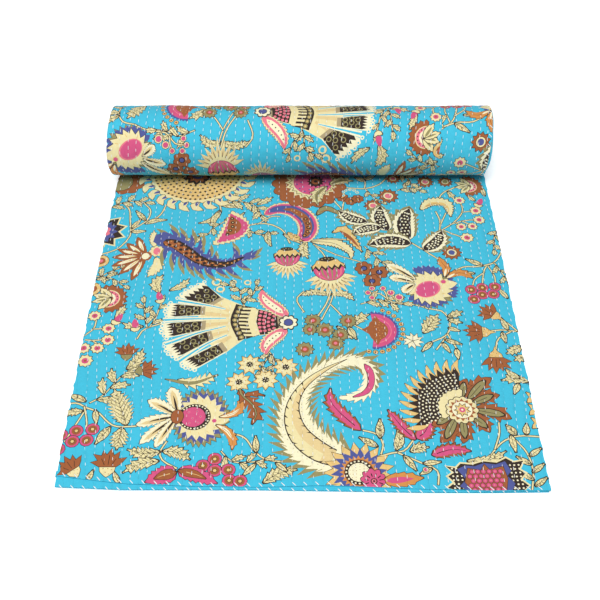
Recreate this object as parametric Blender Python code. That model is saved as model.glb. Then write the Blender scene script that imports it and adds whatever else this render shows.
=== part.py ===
"""A kantha quilt, folded lengthwise into four layers and rolled up from its far end.

Metres, +Z up. The front hem faces -Y, the roll lies along X at the back, and the origin is
under the middle of the whole. The cloth is one closed solid: the outline of its folded section
is swept back along the floor and then round a spiral.
"""

import math
from enum import Enum
from typing import NamedTuple

import bmesh
import bpy
import numpy as np

# The opened quilt is 90 x 108 inches. Its 108 inches are folded in four across the width.
QUILT_LENGTH = 2.286
STACK_WIDTH = 0.685
CLOTH = 0.0016
LAYER_GAP = 0.00035

# The roll. Its middle lies this far behind the front hem, and each turn lies clear of the last.
ROLL_BACK = 0.694
ROLL_RADIUS = 0.0681
TURN_GAP = 0.0005

# The running stitches draw the cloth down in rows along its length.
STITCH_ROWS = 47
STITCH_DEPTH = 0.0008
ROW_WANDER = 0.0011
ROW_WAVE = 0.29
QUILTED_FROM = 0.028

# Points: along the flat, round a turn, round a fold, and across each layer at the front hem.
FLAT_STEPS = 7
OUTER_TURN_STEPS = 24
INNER_TURN_STEPS = 12
HEM_COLUMNS = 12

LAYERS = 4
STACK_HEIGHT = LAYERS * CLOTH + (LAYERS - 1) * LAYER_GAP
TURN_PITCH = STACK_HEIGHT + TURN_GAP
HALF_WIDTH = STACK_WIDTH / 2


class HemPlace(NamedTuple):
    """One place across the front hem, from the left at 0 to the right at 1."""

    across: float
    whole: float  # how far back all the layers start there
    top: float  # how much further back the top layer starts


FRONT_HEM = (
    HemPlace(0.00, 0.0090, 0.0156),
    HemPlace(0.14, 0.0045, 0.0077),
    HemPlace(0.28, 0.0043, 0.0040),
    HemPlace(0.42, 0.0041, 0.0027),
    HemPlace(0.54, 0.0028, 0.0065),
    HemPlace(0.74, 0.0003, 0.0036),
    HemPlace(0.88, 0.0007, 0.0003),
    HemPlace(1.00, 0.0020, 0.0000),
)


class Drift(NamedTuple):
    """How far the cloth has wandered sideways after so many turns of the roll."""

    turns: float
    sideways: float


ROLL_DRIFT = (
    Drift(0.00, 0.0000),
    Drift(0.50, 0.0010),
    Drift(0.75, -0.0070),
    Drift(1.20, 0.0015),
    Drift(2.10, -0.0025),
    Drift(3.60, 0.0030),
    Drift(5.00, -0.0035),
    Drift(7.00, 0.0010),
)

LEFT_BULGE = 0.0027
RIGHT_BULGE = 0.0014


class Layer(NamedTuple):
    """A run of the cloth across the stack, in the order in which the cloth passes."""

    level: int  # 0 lies on the floor
    start: float
    end: float
    start_setback: str
    end_setback: str


class Fold(NamedTuple):
    """A half turn that joins two runs: steps on its outer side and on its inner side."""

    left: bool
    low: int
    high: int
    outside_left_of_way: bool
    outer_steps: int
    inner_steps: int


OUTER_FOLD_X = -HALF_WIDTH + CLOTH / 2 + 1.5 * (CLOTH + LAYER_GAP)
RIGHT_FOLD_X = HALF_WIDTH - CLOTH / 2 - 0.5 * (CLOTH + LAYER_GAP)
FREE_HEM_LOW_X = HALF_WIDTH - 0.0022
FREE_HEM_HIGH_X = HALF_WIDTH - 0.0045

RUNS = (
    Layer(0, FREE_HEM_LOW_X, OUTER_FOLD_X, "whole", "top"),
    Layer(3, OUTER_FOLD_X, RIGHT_FOLD_X, "top", "top"),
    Layer(2, RIGHT_FOLD_X, OUTER_FOLD_X, "whole", "whole"),
    Layer(1, OUTER_FOLD_X, FREE_HEM_HIGH_X, "whole", "whole"),
)
FOLDS = (
    Fold(True, 0, 3, True, 4, 3),
    Fold(False, 2, 3, True, 3, 1),
    Fold(True, 1, 2, False, 3, 1),
)


class RowKind(Enum):
    """Which faces of the section carry extra points at a row of the sweep."""

    HEM = "every face, for the uneven hem"
    TOP_QUILTED = "the top face"
    UNDER_QUILTED = "the underside, which shows on the roll"
    PLAIN = "none"


class Corner(NamedTuple):
    """A point of the section: its place along the outline, across, up, and its setback."""

    place: float
    across: float
    height: float
    setback: float


def level_height(level: int) -> float:
    """The height of a layer's middle."""
    return CLOTH / 2 + level * (CLOTH + LAYER_GAP)


def hem_setback(x: float, column: str) -> float:
    """How far back the cloth starts at x, from the column of that name in the hem's table."""
    across = x / STACK_WIDTH + 0.5
    places = [place.across for place in FRONT_HEM]
    whole = np.interp(across, places, [place.whole for place in FRONT_HEM])
    if column == "whole":
        return float(whole)
    return float(whole + np.interp(across, places, [place.top for place in FRONT_HEM]))


def stitch_columns() -> list[tuple[float, float]]:
    """Each stitch row and each crown between two rows: its place across, and its depth."""
    pitch = (RIGHT_FOLD_X - OUTER_FOLD_X) / STITCH_ROWS
    columns = []
    for row in range(STITCH_ROWS):
        columns.append((OUTER_FOLD_X + (row + 0.5) * pitch, STITCH_DEPTH))
        if row < STITCH_ROWS - 1:
            columns.append((OUTER_FOLD_X + (row + 1.0) * pitch, 0.0))
    return columns


def run_corners(run: Layer, side: int, kind: RowKind, begin: float) -> list[Corner]:
    """The points between the two ends of a run, on one side of the cloth.

    Args:
        run: The run of cloth.
        side: 1 for the side on the left of the cloth's way, -1 for the other.
        kind: The kind of row, which says where the extra points go.
        begin: The place along the cloth at which the run begins.
    """
    heading = 1 if run.end > run.start else -1
    face = level_height(run.level) + heading * side * CLOTH / 2
    columns: list[tuple[float, float]] = []
    if kind is RowKind.HEM:
        step = (run.end - run.start) / HEM_COLUMNS
        columns = [(run.start + step * n, 0.0) for n in range(1, HEM_COLUMNS)]
    elif side == 1 and run.level == {"TOP_QUILTED": 3, "UNDER_QUILTED": 0}.get(kind.name):
        columns = stitch_columns()[::heading]
    reach = run.end - run.start
    corners = []
    for x, depth in columns:
        share = (x - run.start) / reach
        setback = (1 - share) * hem_setback(x, run.start_setback)
        setback += share * hem_setback(x, run.end_setback)
        height = face - heading * side * depth
        corners.append(Corner(begin + abs(x - run.start), x, height, setback))
    return corners


def fold_corners(fold: Fold, side: int, begin: float) -> list[Corner]:
    """The points of one side of the cloth round a fold, both ends included."""
    low, high = level_height(fold.low), level_height(fold.high)
    middle, radius = (low + high) / 2, (high - low) / 2
    outside = (side == 1) == fold.outside_left_of_way
    reach = radius + (CLOTH / 2 if outside else -CLOTH / 2)
    steps = fold.outer_steps if outside else fold.inner_steps
    x_middle = OUTER_FOLD_X if fold.left else RIGHT_FOLD_X
    rising = fold.low == 0
    setback = hem_setback(x_middle, "top" if fold.high == LAYERS - 1 else "whole")
    corners = []
    for step in range(steps + 1):
        angle = math.pi * (step / steps - 0.5) * (1 if rising else -1)
        x = x_middle + (-1 if fold.left else 1) * reach * math.cos(angle)
        place = begin + math.pi * radius * step / steps
        corners.append(Corner(place, x, middle + reach * math.sin(angle), setback))
    return corners


def section_side(side: int, kind: RowKind) -> list[Corner]:
    """One side of the folded cloth's section, from its first free hem to its last.

    The cloth passes along the floor to the left, over the outer fold to the right along the
    top, down and back to the left, and round the inner fold to its other free hem.
    """
    corners = []
    place = 0.0
    for number, run in enumerate(RUNS):
        heading = 1 if run.end > run.start else -1
        face = level_height(run.level) + heading * side * CLOTH / 2
        if number == 0:
            corners.append(Corner(place, run.start, face, hem_setback(run.start, "whole")))
        corners += run_corners(run, side, kind, place)
        place += abs(run.end - run.start)
        if number < len(FOLDS):
            fold = FOLDS[number]
            corners += fold_corners(fold, side, place)
            place += math.pi * (level_height(fold.high) - level_height(fold.low)) / 2
        else:
            corners.append(Corner(place, run.end, face, hem_setback(run.end, "whole")))
    return corners


def roll_angle() -> float:
    """The angle that the rolled length turns through: it fills a spiral of even pitch."""
    rolled = QUILT_LENGTH - ROLL_BACK
    radius = ROLL_RADIUS - STACK_HEIGHT / 2
    rate = TURN_PITCH / (2 * math.pi)
    return (radius - math.sqrt(radius * radius - 2 * rate * rolled)) / rate


def on_flat(corner: Corner, back: float) -> tuple[float, float, float]:
    """Where a point of the section comes at a distance back along the floor."""
    share = back / ROLL_BACK
    bulge = -LEFT_BULGE if corner.across < 0 else RIGHT_BULGE
    swell = bulge * abs(corner.across) / HALF_WIDTH * math.sin(math.pi * share)
    wander = 0.0
    if abs(corner.across) < HALF_WIDTH - 0.012:
        wander = ROW_WANDER * math.sin(2 * math.pi * back / ROW_WAVE + 9 * corner.across)
    y = back + corner.setback * (1 - share)
    return corner.across + swell + wander, y, corner.height


def on_roll(corner: Corner, angle: float) -> tuple[float, float, float]:
    """Where a point of the section comes at an angle round the roll."""
    turns = angle / (2 * math.pi)
    drift = np.interp(turns, [d.turns for d in ROLL_DRIFT], [d.sideways for d in ROLL_DRIFT])
    radius = ROLL_RADIUS - TURN_PITCH * turns - corner.height
    y = ROLL_BACK + radius * math.sin(angle)
    return corner.across + float(drift), y, ROLL_RADIUS - radius * math.cos(angle)


def stitch_strip(bm: bmesh.types.BMesh, first: list, second: list) -> None:
    """Fill the strip between two rows of (place, vertex), in step with their places."""
    i = j = 0
    while i < len(first) - 1 or j < len(second) - 1:
        next_first = first[i + 1][0] if i < len(first) - 1 else math.inf
        next_second = second[j + 1][0] if j < len(second) - 1 else math.inf
        corners = [first[i][1]]
        if next_first <= next_second + 1e-9:
            corners.append(first[i + 1][1])
            i += 1
        if next_second <= next_first + 1e-9:
            corners.append(second[j + 1][1])
            corners.append(second[j][1])
            j += 1
        else:
            corners.append(second[j][1])
        bm.faces.new(corners)


class Row:
    """One row of the sweep: the section's two sides, placed on the floor or on the roll."""

    def __init__(self, bm: bmesh.types.BMesh, kind: RowKind, place_on, where: float) -> None:
        """Make the row's vertices with place_on, which takes a corner and where."""
        self.left, self.right = (
            [(c.place, bm.verts.new(place_on(c, where))) for c in section_side(side, kind)]
            for side in (1, -1)
        )

    def loop(self) -> list:
        """The whole outline as (place, vertex), out along one side and home along the other."""
        whole = 2 * self.left[-1][0]
        home = [(whole + 1 - place, vertex) for place, vertex in reversed(self.right)]
        return self.left + home + [(whole + 2, self.left[0][1])]


def sweep_rows(bm: bmesh.types.BMesh) -> list[Row]:
    """The rows of the sweep, from the front hem to the heart of the roll."""
    rows = [Row(bm, RowKind.HEM, on_flat, 0.0)]
    visible = ROLL_BACK - ROLL_RADIUS / 4
    for back in np.linspace(QUILTED_FROM, visible, FLAT_STEPS):
        rows.append(Row(bm, RowKind.TOP_QUILTED, on_flat, float(back)))
    rows.append(Row(bm, RowKind.PLAIN, on_roll, 0.0))
    for step in range(1, OUTER_TURN_STEPS + 1):
        quilted = 2 <= step < OUTER_TURN_STEPS
        kind = RowKind.UNDER_QUILTED if quilted else RowKind.PLAIN
        rows.append(Row(bm, kind, on_roll, 2 * math.pi * step / OUTER_TURN_STEPS))
    last = roll_angle()
    inner_step = 2 * math.pi / INNER_TURN_STEPS
    for step in range(INNER_TURN_STEPS + 1, math.ceil(last / inner_step)):
        rows.append(Row(bm, RowKind.PLAIN, on_roll, step * inner_step))
    rows.append(Row(bm, RowKind.PLAIN, on_roll, last))
    return rows


def quilt_material() -> bpy.types.Material:
    """Turquoise cotton."""
    material = bpy.data.materials.new("printed_cotton")
    material.use_nodes = True
    shader = material.node_tree.nodes["Principled BSDF"]
    shader.inputs["Base Color"].default_value = (0.05, 0.52, 0.78, 1.0)
    shader.inputs["Roughness"].default_value = 0.9
    shader.inputs["Metallic"].default_value = 0.0
    return material


def build_quilt() -> bpy.types.Object:
    """Make the folded and rolled quilt as one closed solid, and centre it over the origin."""
    bm = bmesh.new()
    rows = sweep_rows(bm)
    for row, following in zip(rows, rows[1:]):
        stitch_strip(bm, row.loop(), following.loop())
    stitch_strip(bm, rows[0].right, rows[0].left)
    stitch_strip(bm, rows[-1].left, rows[-1].right)
    bmesh.ops.recalc_face_normals(bm, faces=bm.faces)
    spots = np.array([vertex.co for vertex in bm.verts])
    middle = (spots.min(axis=0) + spots.max(axis=0)) / 2
    bmesh.ops.translate(bm, verts=bm.verts, vec=(-middle[0], -middle[1], 0.0))
    mesh = bpy.data.meshes.new("quilt")
    bm.to_mesh(mesh)
    bm.free()
    mesh.materials.append(quilt_material())
    mesh.shade_smooth()
    mesh.set_sharp_from_angle(angle=math.radians(40))
    quilt = bpy.data.objects.new("quilt", mesh)
    bpy.context.scene.collection.objects.link(quilt)
    return quilt


def main() -> None:
    """Clear the scene and build the quilt."""
    for item in list(bpy.data.objects):
        bpy.data.objects.remove(item)
    build_quilt()


main()
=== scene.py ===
"""A printed kantha quilt, folded in four and part rolled up: its cloth, print and stitching.

Metres, +Z up, the front hem towards -Y. The cloth is one closed sheet of cotton. It is worked out
on its own flat plane, where u runs across the opened quilt and v along it, and each point of that
plane is then laid where folding and rolling bring it. The print is drawn in centimetres on a page:
x to the right and y towards the roll, as on the flat part.
"""

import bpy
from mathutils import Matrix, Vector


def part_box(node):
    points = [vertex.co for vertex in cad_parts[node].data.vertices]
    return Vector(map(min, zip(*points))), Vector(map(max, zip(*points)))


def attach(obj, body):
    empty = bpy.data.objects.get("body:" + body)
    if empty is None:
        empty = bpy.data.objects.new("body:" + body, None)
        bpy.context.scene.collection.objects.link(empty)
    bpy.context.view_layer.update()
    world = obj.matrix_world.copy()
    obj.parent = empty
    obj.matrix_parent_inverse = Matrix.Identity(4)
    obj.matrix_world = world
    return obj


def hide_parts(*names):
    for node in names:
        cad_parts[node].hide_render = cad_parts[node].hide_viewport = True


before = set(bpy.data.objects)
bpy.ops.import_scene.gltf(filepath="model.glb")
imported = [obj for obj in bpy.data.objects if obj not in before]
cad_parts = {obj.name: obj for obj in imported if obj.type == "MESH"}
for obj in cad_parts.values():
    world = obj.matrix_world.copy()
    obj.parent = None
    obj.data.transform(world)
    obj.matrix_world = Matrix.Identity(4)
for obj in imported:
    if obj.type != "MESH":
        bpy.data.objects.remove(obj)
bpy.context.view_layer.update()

import logging
import math
from dataclasses import dataclass, field
from enum import Enum
from typing import Callable, NamedTuple, Optional, Sequence

import bpy
import numpy as np
from mathutils import Vector
from mathutils.geometry import delaunay_2d_cdt

log = logging.getLogger("kantha_quilt")
Points = np.ndarray
FULL = 2 * math.pi
LOBE_STEPS = 5


# ---- how the cloth lies


class Side(Enum):
    """The two faces of the cloth. The printed one is outside on the stack and on the roll."""

    PRINTED = 1
    BACK = -1


@dataclass(frozen=True)
class Stretch:
    """One flat run, or one fold, of the section that the folded cloth makes.

    A run goes from start to end at one height. A fold turns about (start, height) at the given
    radius, from first_angle through half a turn, clockwise where turning is -1.
    """

    begin: float
    length: float
    start: float
    height: float
    heading: int = 0
    radius: float = 0.0
    first_angle: float = 0.0
    turning: int = 0
    front_near: str = "whole"
    front_far: str = "whole"


@dataclass(frozen=True)
class QuiltLay:
    """Where folding in four and rolling up bring each point of the cloth."""

    length: float = 2.286
    stack_width: float = 0.685
    cloth: float = 0.0016
    layer_gap: float = 0.00035
    turn_gap: float = 0.0005
    roll_back: float = 0.694
    roll_radius: float = 0.0681
    hem_round: float = 0.0013
    left_bulge: float = 0.0027
    right_bulge: float = 0.0014
    free_hem_low: float = 0.3403
    free_hem_high: float = 0.3380
    hem_across: tuple = (0.00, 0.14, 0.28, 0.42, 0.54, 0.74, 0.88, 1.00)
    hem_whole: tuple = (0.0090, 0.0045, 0.0043, 0.0041, 0.0028, 0.0003, 0.0007, 0.0020)
    hem_top: tuple = (0.0156, 0.0077, 0.0040, 0.0027, 0.0065, 0.0036, 0.0003, 0.0000)
    drift_turns: tuple = (0.0, 0.5, 0.75, 1.2, 2.1, 3.6, 5.0, 7.0)
    drift_sideways: tuple = (0.0, 0.001, -0.007, 0.0015, -0.0025, 0.003, -0.0035, 0.001)

    @property
    def half(self) -> float:
        """Half of the stack's width."""
        return self.stack_width / 2

    @property
    def stack_height(self) -> float:
        """Four layers and the three gaps between them."""
        return 4 * self.cloth + 3 * self.layer_gap

    @property
    def turn_rate(self) -> float:
        """How much the roll's radius falls for each radian of its spiral."""
        return (self.stack_height + self.turn_gap) / FULL

    @property
    def middle_radius(self) -> float:
        """The radius at which the stack's middle starts round the roll."""
        return self.roll_radius - self.stack_height / 2

    @property
    def left_fold(self) -> float:
        """Where both left folds turn."""
        return -self.half + self.cloth / 2 + 1.5 * (self.cloth + self.layer_gap)

    @property
    def right_fold(self) -> float:
        """Where the right fold turns."""
        return self.half - self.cloth / 2 - 0.5 * (self.cloth + self.layer_gap)

    def level(self, number: int) -> float:
        """The height of a layer's middle, with 0 on the floor."""
        return self.cloth / 2 + number * (self.cloth + self.layer_gap)

    def stretches(self) -> list[Stretch]:
        """The section's seven stretches, in the order in which the cloth passes them.

        It passes along the floor to the left, over the outer fold to the right along the top,
        round the right fold and back to the left, and round the inner fold to the right.
        """
        outer = (self.level(3) - self.level(0)) / 2
        inner = (self.level(3) - self.level(2)) / 2
        low = self.free_hem_low - self.left_fold
        wide = self.right_fold - self.left_fold
        high = self.free_hem_high - self.left_fold
        plan = [
            dict(length=low, start=self.free_hem_low, height=self.level(0), heading=-1,
                 front_near="whole", front_far="top"),
            dict(length=math.pi * outer, start=self.left_fold, height=self.stack_height / 2,
                 radius=outer, first_angle=-math.pi / 2, turning=-1,
                 front_near="top", front_far="top"),
            dict(length=wide, start=self.left_fold, height=self.level(3), heading=1,
                 front_near="top", front_far="top"),
            dict(length=math.pi * inner, start=self.right_fold,
                 height=(self.level(3) + self.level(2)) / 2, radius=inner,
                 first_angle=math.pi / 2, turning=-1, front_near="top", front_far="whole"),
            dict(length=wide, start=self.right_fold, height=self.level(2), heading=-1),
            dict(length=math.pi * inner, start=self.left_fold, height=self.stack_height / 2,
                 radius=inner, first_angle=math.pi / 2, turning=1),
            dict(length=high, start=self.left_fold, height=self.level(1), heading=1),
        ]
        stretches, begin = [], 0.0
        for step in plan:
            stretches.append(Stretch(begin=begin, **step))
            begin += step["length"]
        return stretches

    @property
    def width(self) -> float:
        """The opened quilt's width, along the folded section."""
        last = self.stretches()[-1]
        return last.begin + last.length

    def front(self, across: Points, which: str) -> Points:
        """How far back the cloth starts: of all the layers, or of the top one."""
        share = across / self.stack_width + 0.5
        whole = np.interp(share, self.hem_across, self.hem_whole)
        if which == "whole":
            return whole
        return whole + np.interp(share, self.hem_across, self.hem_top)

    def section(self, u: Points) -> tuple[Points, Points, Points, Points, Points]:
        """The section at each u: x, height, the printed side's direction (x, z) and the setback.

        On a run x follows u. On a fold the point goes round by (u - begin) / radius radians.
        """
        x, z, nx, nz, setback = (np.zeros_like(u) for _ in range(5))
        for stretch in self.stretches():
            end = stretch.begin + stretch.length
            here = (u >= stretch.begin - 1e-9) & (u <= end + 1e-9)
            along = u[here] - stretch.begin
            share = along / stretch.length
            if stretch.heading:
                x[here] = stretch.start + stretch.heading * along
                z[here] = stretch.height
                nx[here] = 0.0
                nz[here] = stretch.heading
            else:
                angle = stretch.first_angle + stretch.turning * math.pi * share
                x[here] = stretch.start + stretch.radius * np.cos(angle)
                z[here] = stretch.height + stretch.radius * np.sin(angle)
                nx[here] = -stretch.turning * np.cos(angle)
                nz[here] = -stretch.turning * np.sin(angle)
            near = self.front(x[here], stretch.front_near)
            far = self.front(x[here], stretch.front_far)
            setback[here] = near + (far - near) * share
        return x, z, nx, nz, setback

    def angle(self, v: Points) -> Points:
        """The angle round the roll at v: what is rolled up fills a spiral of even pitch."""
        rolled = np.maximum(v - self.roll_back, 0.0)
        inside = self.middle_radius**2 - 2 * self.turn_rate * rolled
        return (self.middle_radius - np.sqrt(np.maximum(inside, 0.0))) / self.turn_rate

    def along(self, angle: float) -> float:
        """The v at which the roll has turned through an angle."""
        return self.roll_back + self.middle_radius * angle - self.turn_rate * angle**2 / 2

    def drift(self, angle: Points) -> Points:
        """How far the cloth has wandered sideways on the roll, smoothed over a tenth of a turn."""
        turns = angle / FULL
        nearby = [np.interp(turns + shift, self.drift_turns, self.drift_sideways)
                  for shift in np.linspace(-0.05, 0.05, 7)]
        return np.mean(nearby, axis=0)

    def shift(self) -> tuple[float, float]:
        """From the lay's own x and y to the frame's, by the box of the quilt's node."""
        low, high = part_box("quilt")
        quarter = self.roll_radius - (self.stack_height + self.turn_gap) / 4
        return low.x + self.half - min(self.drift_sideways), high.y - self.roll_back - quarter

    def lay(self, u: Points, v: Points, off: Points) -> Points:
        """The place in the frame of points of the cloth.

        Args:
            u: Across the opened quilt.
            v: Along it, from the front hem.
            off: How far the point stands off the cloth's middle, towards the printed side.

        Returns:
            An array of x, y and z. On the flat part y is v and the hem's setback, which fades
            out towards the roll, and the side edges bulge as half a sine. On the roll the
            point stands at its angle, at the radius that the spiral has left there.
        """
        x, z, nx, nz, setback = self.section(u)
        across, height = x + off * nx, z + off * nz
        share = np.clip(v / self.roll_back, 0.0, 1.0)
        bulge = np.where(across < 0, -self.left_bulge, self.right_bulge)
        swell = bulge * np.abs(across) / self.half * np.sin(math.pi * share)
        angle = self.angle(v)
        radius = self.roll_radius - self.turn_rate * angle - height
        rolled = v > self.roll_back
        y = np.where(rolled, self.roll_back + radius * np.sin(angle), v + setback * (1 - share))
        up = np.where(rolled, self.roll_radius - radius * np.cos(angle), height)
        side = across + np.where(rolled, self.drift(angle), swell)
        shift_x, shift_y = self.shift()
        return np.stack([side + shift_x, y + shift_y, up], axis=-1)

    def thickness(self, u: Points, v: Points) -> Points:
        """Half the cloth's thickness, which rounds off to nothing within hem_round of a hem."""
        edge = np.minimum.reduce([u, self.width - u, v, self.length - v])
        share = 1 - np.clip(edge / self.hem_round, 0.0, 1.0)
        return self.cloth / 2 * np.sqrt(np.maximum(1 - share**2, 0.0))


@dataclass(frozen=True)
class Stitching:
    """The rows of running stitch: where they pass, and how they draw the cloth down."""

    lay: QuiltLay
    rows: int = 47
    pitch: float = 0.0126
    stitch: float = 0.0068
    wander: float = 0.0011
    wander_wave: float = 0.29
    ripple: float = 0.0006
    ripple_wave: float = 0.083
    valley: float = 0.0007
    valley_width: float = 0.0024
    swell: float = 0.0009
    lean_to: float = 0.24
    lean_x: tuple = (-0.345, -0.31, -0.26, -0.18, -0.08, 0.18, 0.27, 0.345)
    lean_rate: tuple = (0.135, 0.135, 0.10, 0.04, 0.0, 0.0, -0.045, -0.045)

    @property
    def spacing(self) -> float:
        """From one row to the next."""
        return (self.lay.right_fold - self.lay.left_fold) / self.rows

    def lean(self, x: Points, v: Points) -> Points:
        """How far the rows that end near x have come askew towards the front hem."""
        return np.interp(x, self.lean_x, self.lean_rate) * np.maximum(self.lean_to - v, 0.0)

    def row_x(self, row: Points, v: Points) -> Points:
        """Where a row passes at v: its even place, its lean, a long wave and a short one."""
        even = self.lay.left_fold + (row + 0.5) * self.spacing
        long_wave = self.wander * np.sin(FULL * v / self.wander_wave + 9 * even)
        own = self.ripple * np.sin(FULL * v / self.ripple_wave + 2.4 * row)
        return even + self.lean(even, v) + long_wave + own

    def relief(self, u: Points, v: Points) -> Points:
        """How far the printed face stands off its plain place, in metres.

        Each row is a valley of a bell's form, a little deeper at each stitch than between two,
        and the cloth between the rows swells and sinks by slow waves.
        """
        x, _, _, nz, _ = self.lay.section(u)
        straight = x - self.lean(x, v) - self.lay.left_fold
        row = np.clip(np.round(straight / self.spacing - 0.5), 0, self.rows - 1)
        off_row = x - self.row_x(row, v)
        pull = 0.78 + 0.22 * np.cos(FULL * (v / self.pitch + self.phase(row)))
        valley = -self.valley * pull * np.exp(-((off_row / self.valley_width) ** 2))
        slow = np.sin(31 * x + 17 * v + 1.3) + np.sin(47 * v - 23 * x + 0.7 * np.sin(29 * x))
        slow = slow + 0.6 * np.sin(83 * v + 61 * x + 2.1) + 0.5 * np.sin(71 * x - 96 * v)
        edge = np.minimum.reduce([v, self.lay.half - np.abs(x)])
        calm = np.clip(edge / 0.02, 0.0, 1.0)
        return (valley + self.swell / 3 * slow) * calm * np.abs(nz)

    def off(self, u: Points, v: Points, side: Side) -> Points:
        """How far a face of the cloth stands off its middle."""
        half = self.lay.thickness(u, v)
        return -half if side is Side.BACK else half + self.relief(u, v)

    def row_map(self, u: Points, v: Points) -> Points:
        """How many rows in from the left fold a place is, and how many stitches along."""
        x = self.lay.section(u)[0]
        row = (x - self.lean(x, v) - self.lay.left_fold) / self.spacing - 0.5
        off_row = x - self.row_x(row, v)
        return np.c_[row + off_row / self.spacing, v / self.pitch]

    def phase(self, row: Points) -> Points:
        """Where a row's first stitch starts, as a share of the pitch, different for each row."""
        return np.mod(row * 0.6180 + 0.13 * np.sin(5.0 * row), 1.0)


# ---- drawing in inks


class Ink(Enum):
    """The printing inks, as sRGB bytes."""

    GROUND = (62, 184, 213)
    CREAM = (229, 216, 163)
    LEAF = (229, 216, 161)
    PALE = (238, 231, 194)
    SAND = (222, 198, 142)
    TAN = (222, 188, 120)
    GREY = (168, 152, 118)
    OLIVE = (146, 138, 92)
    RUST = (156, 90, 50)
    ORANGE = (206, 140, 72)
    PINK = (206, 82, 126)
    ROSE = (226, 118, 134)
    DARK = (50, 38, 32)
    VIOLET = (78, 86, 146)

    def linear(self) -> tuple[float, float, float]:
        """The ink in linear light."""
        return tuple(
            part / 12.92 if part <= 0.04045 else ((part + 0.055) / 1.055) ** 2.4
            for part in (value / 255 for value in self.value)
        )


(GROUND, CREAM, LEAF, PALE, SAND, TAN, GREY, OLIVE, RUST, ORANGE, PINK, ROSE, DARK, VIOLET) = Ink


class Patch(NamedTuple):
    """A closed outline on the page, in centimetres, and the ink inside it."""

    outline: Points
    ink: Ink


def in_pairs(points: Sequence) -> Points:
    """Points given as x and y in turn, or in pairs, as rows of two."""
    return np.reshape(points, (-1, 2)).astype(float)


def unit(vectors: Points) -> Points:
    """Each vector at a length of one."""
    return vectors / np.maximum(np.linalg.norm(vectors, axis=-1, keepdims=True), 1e-12)


def curve(points: Sequence, count: int) -> Points:
    """A smooth curve through points, at even steps along it.

    Each span is a cubic whose slopes come from the neighbouring points, and the curve is then
    sampled again by its length.
    """
    given = in_pairs(points)
    padded = np.vstack([2 * given[0] - given[1], given, 2 * given[-1] - given[-2]])
    t = np.linspace(0, len(given) - 1, 12 * len(given))
    span = np.minimum(t.astype(int), len(given) - 2)
    f = (t - span)[:, None]
    p0, p1, p2, p3 = (padded[span + step] for step in range(4))
    fine = 0.5 * (2 * p1 + (p2 - p0) * f + (2 * p0 - 5 * p1 + 4 * p2 - p3) * f**2
                  + (3 * p1 - p0 - 3 * p2 + p3) * f**3)
    steps = np.r_[0, np.cumsum(np.linalg.norm(np.diff(fine, axis=0), axis=1))]
    even = np.linspace(0, steps[-1], count)
    return np.c_[np.interp(even, steps, fine[:, 0]), np.interp(even, steps, fine[:, 1])]


def reach_of(points: Sequence) -> float:
    """The length of the straight lines from point to point."""
    return np.sum(np.linalg.norm(np.diff(in_pairs(points), axis=0), axis=1))


def across_of(path: Points) -> Points:
    """The direction to the left of a path, at each of its points."""
    way = unit(np.gradient(path, axis=0))
    return np.c_[-way[:, 1], way[:, 0]]


def lens(s: Points, peak: float = 0.45, sharp: float = 2.0) -> Points:
    """A width that grows from 0 to 1 at peak and falls to 0 again.

    It is (s / peak)^(sharp peak) ((1 - s) / (1 - peak))^(sharp (1 - peak)): round for sharp = 1,
    pointed for 2 and above.
    """
    s = np.clip(s, 0.0, 1.0)
    return (s / peak) ** (sharp * peak) * ((1 - s) / (1 - peak)) ** (sharp * (1 - peak))


def polar(radius: float | Points, angle: float | Points) -> Points:
    """Points at a radius and an angle."""
    return np.stack([radius * np.cos(angle), radius * np.sin(angle)], axis=-1)


def all_round(count: int) -> Points:
    """Even angles round a full turn."""
    return FULL * np.arange(count) / count


def bowed(base: Sequence, tip: Sequence, bend: float) -> list[Points]:
    """A spine whose middle stands aside, to the left, by a share of its length."""
    base, tip = np.asarray(base, float), np.asarray(tip, float)
    way = tip - base
    return [base, (base + tip) / 2 + bend * np.array([-way[1], way[0]]), tip]


def grown(outline: Points, by: float) -> Points:
    """The outline moved outwards by a distance, along the mean of its edges' directions."""
    edges = unit(np.roll(outline, -1, axis=0) - outline)
    x, y = outline.T
    area = np.sum(x * np.roll(y, -1) - np.roll(x, -1) * y)
    outward = np.c_[edges[:, 1], -edges[:, 0]] * (1 if area > 0 else -1)
    mean = outward + np.roll(outward, 1, axis=0)
    size = np.maximum(np.sum(mean * mean, axis=1, keepdims=True) / 2, 0.55)
    return outline + by * mean / size


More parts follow.
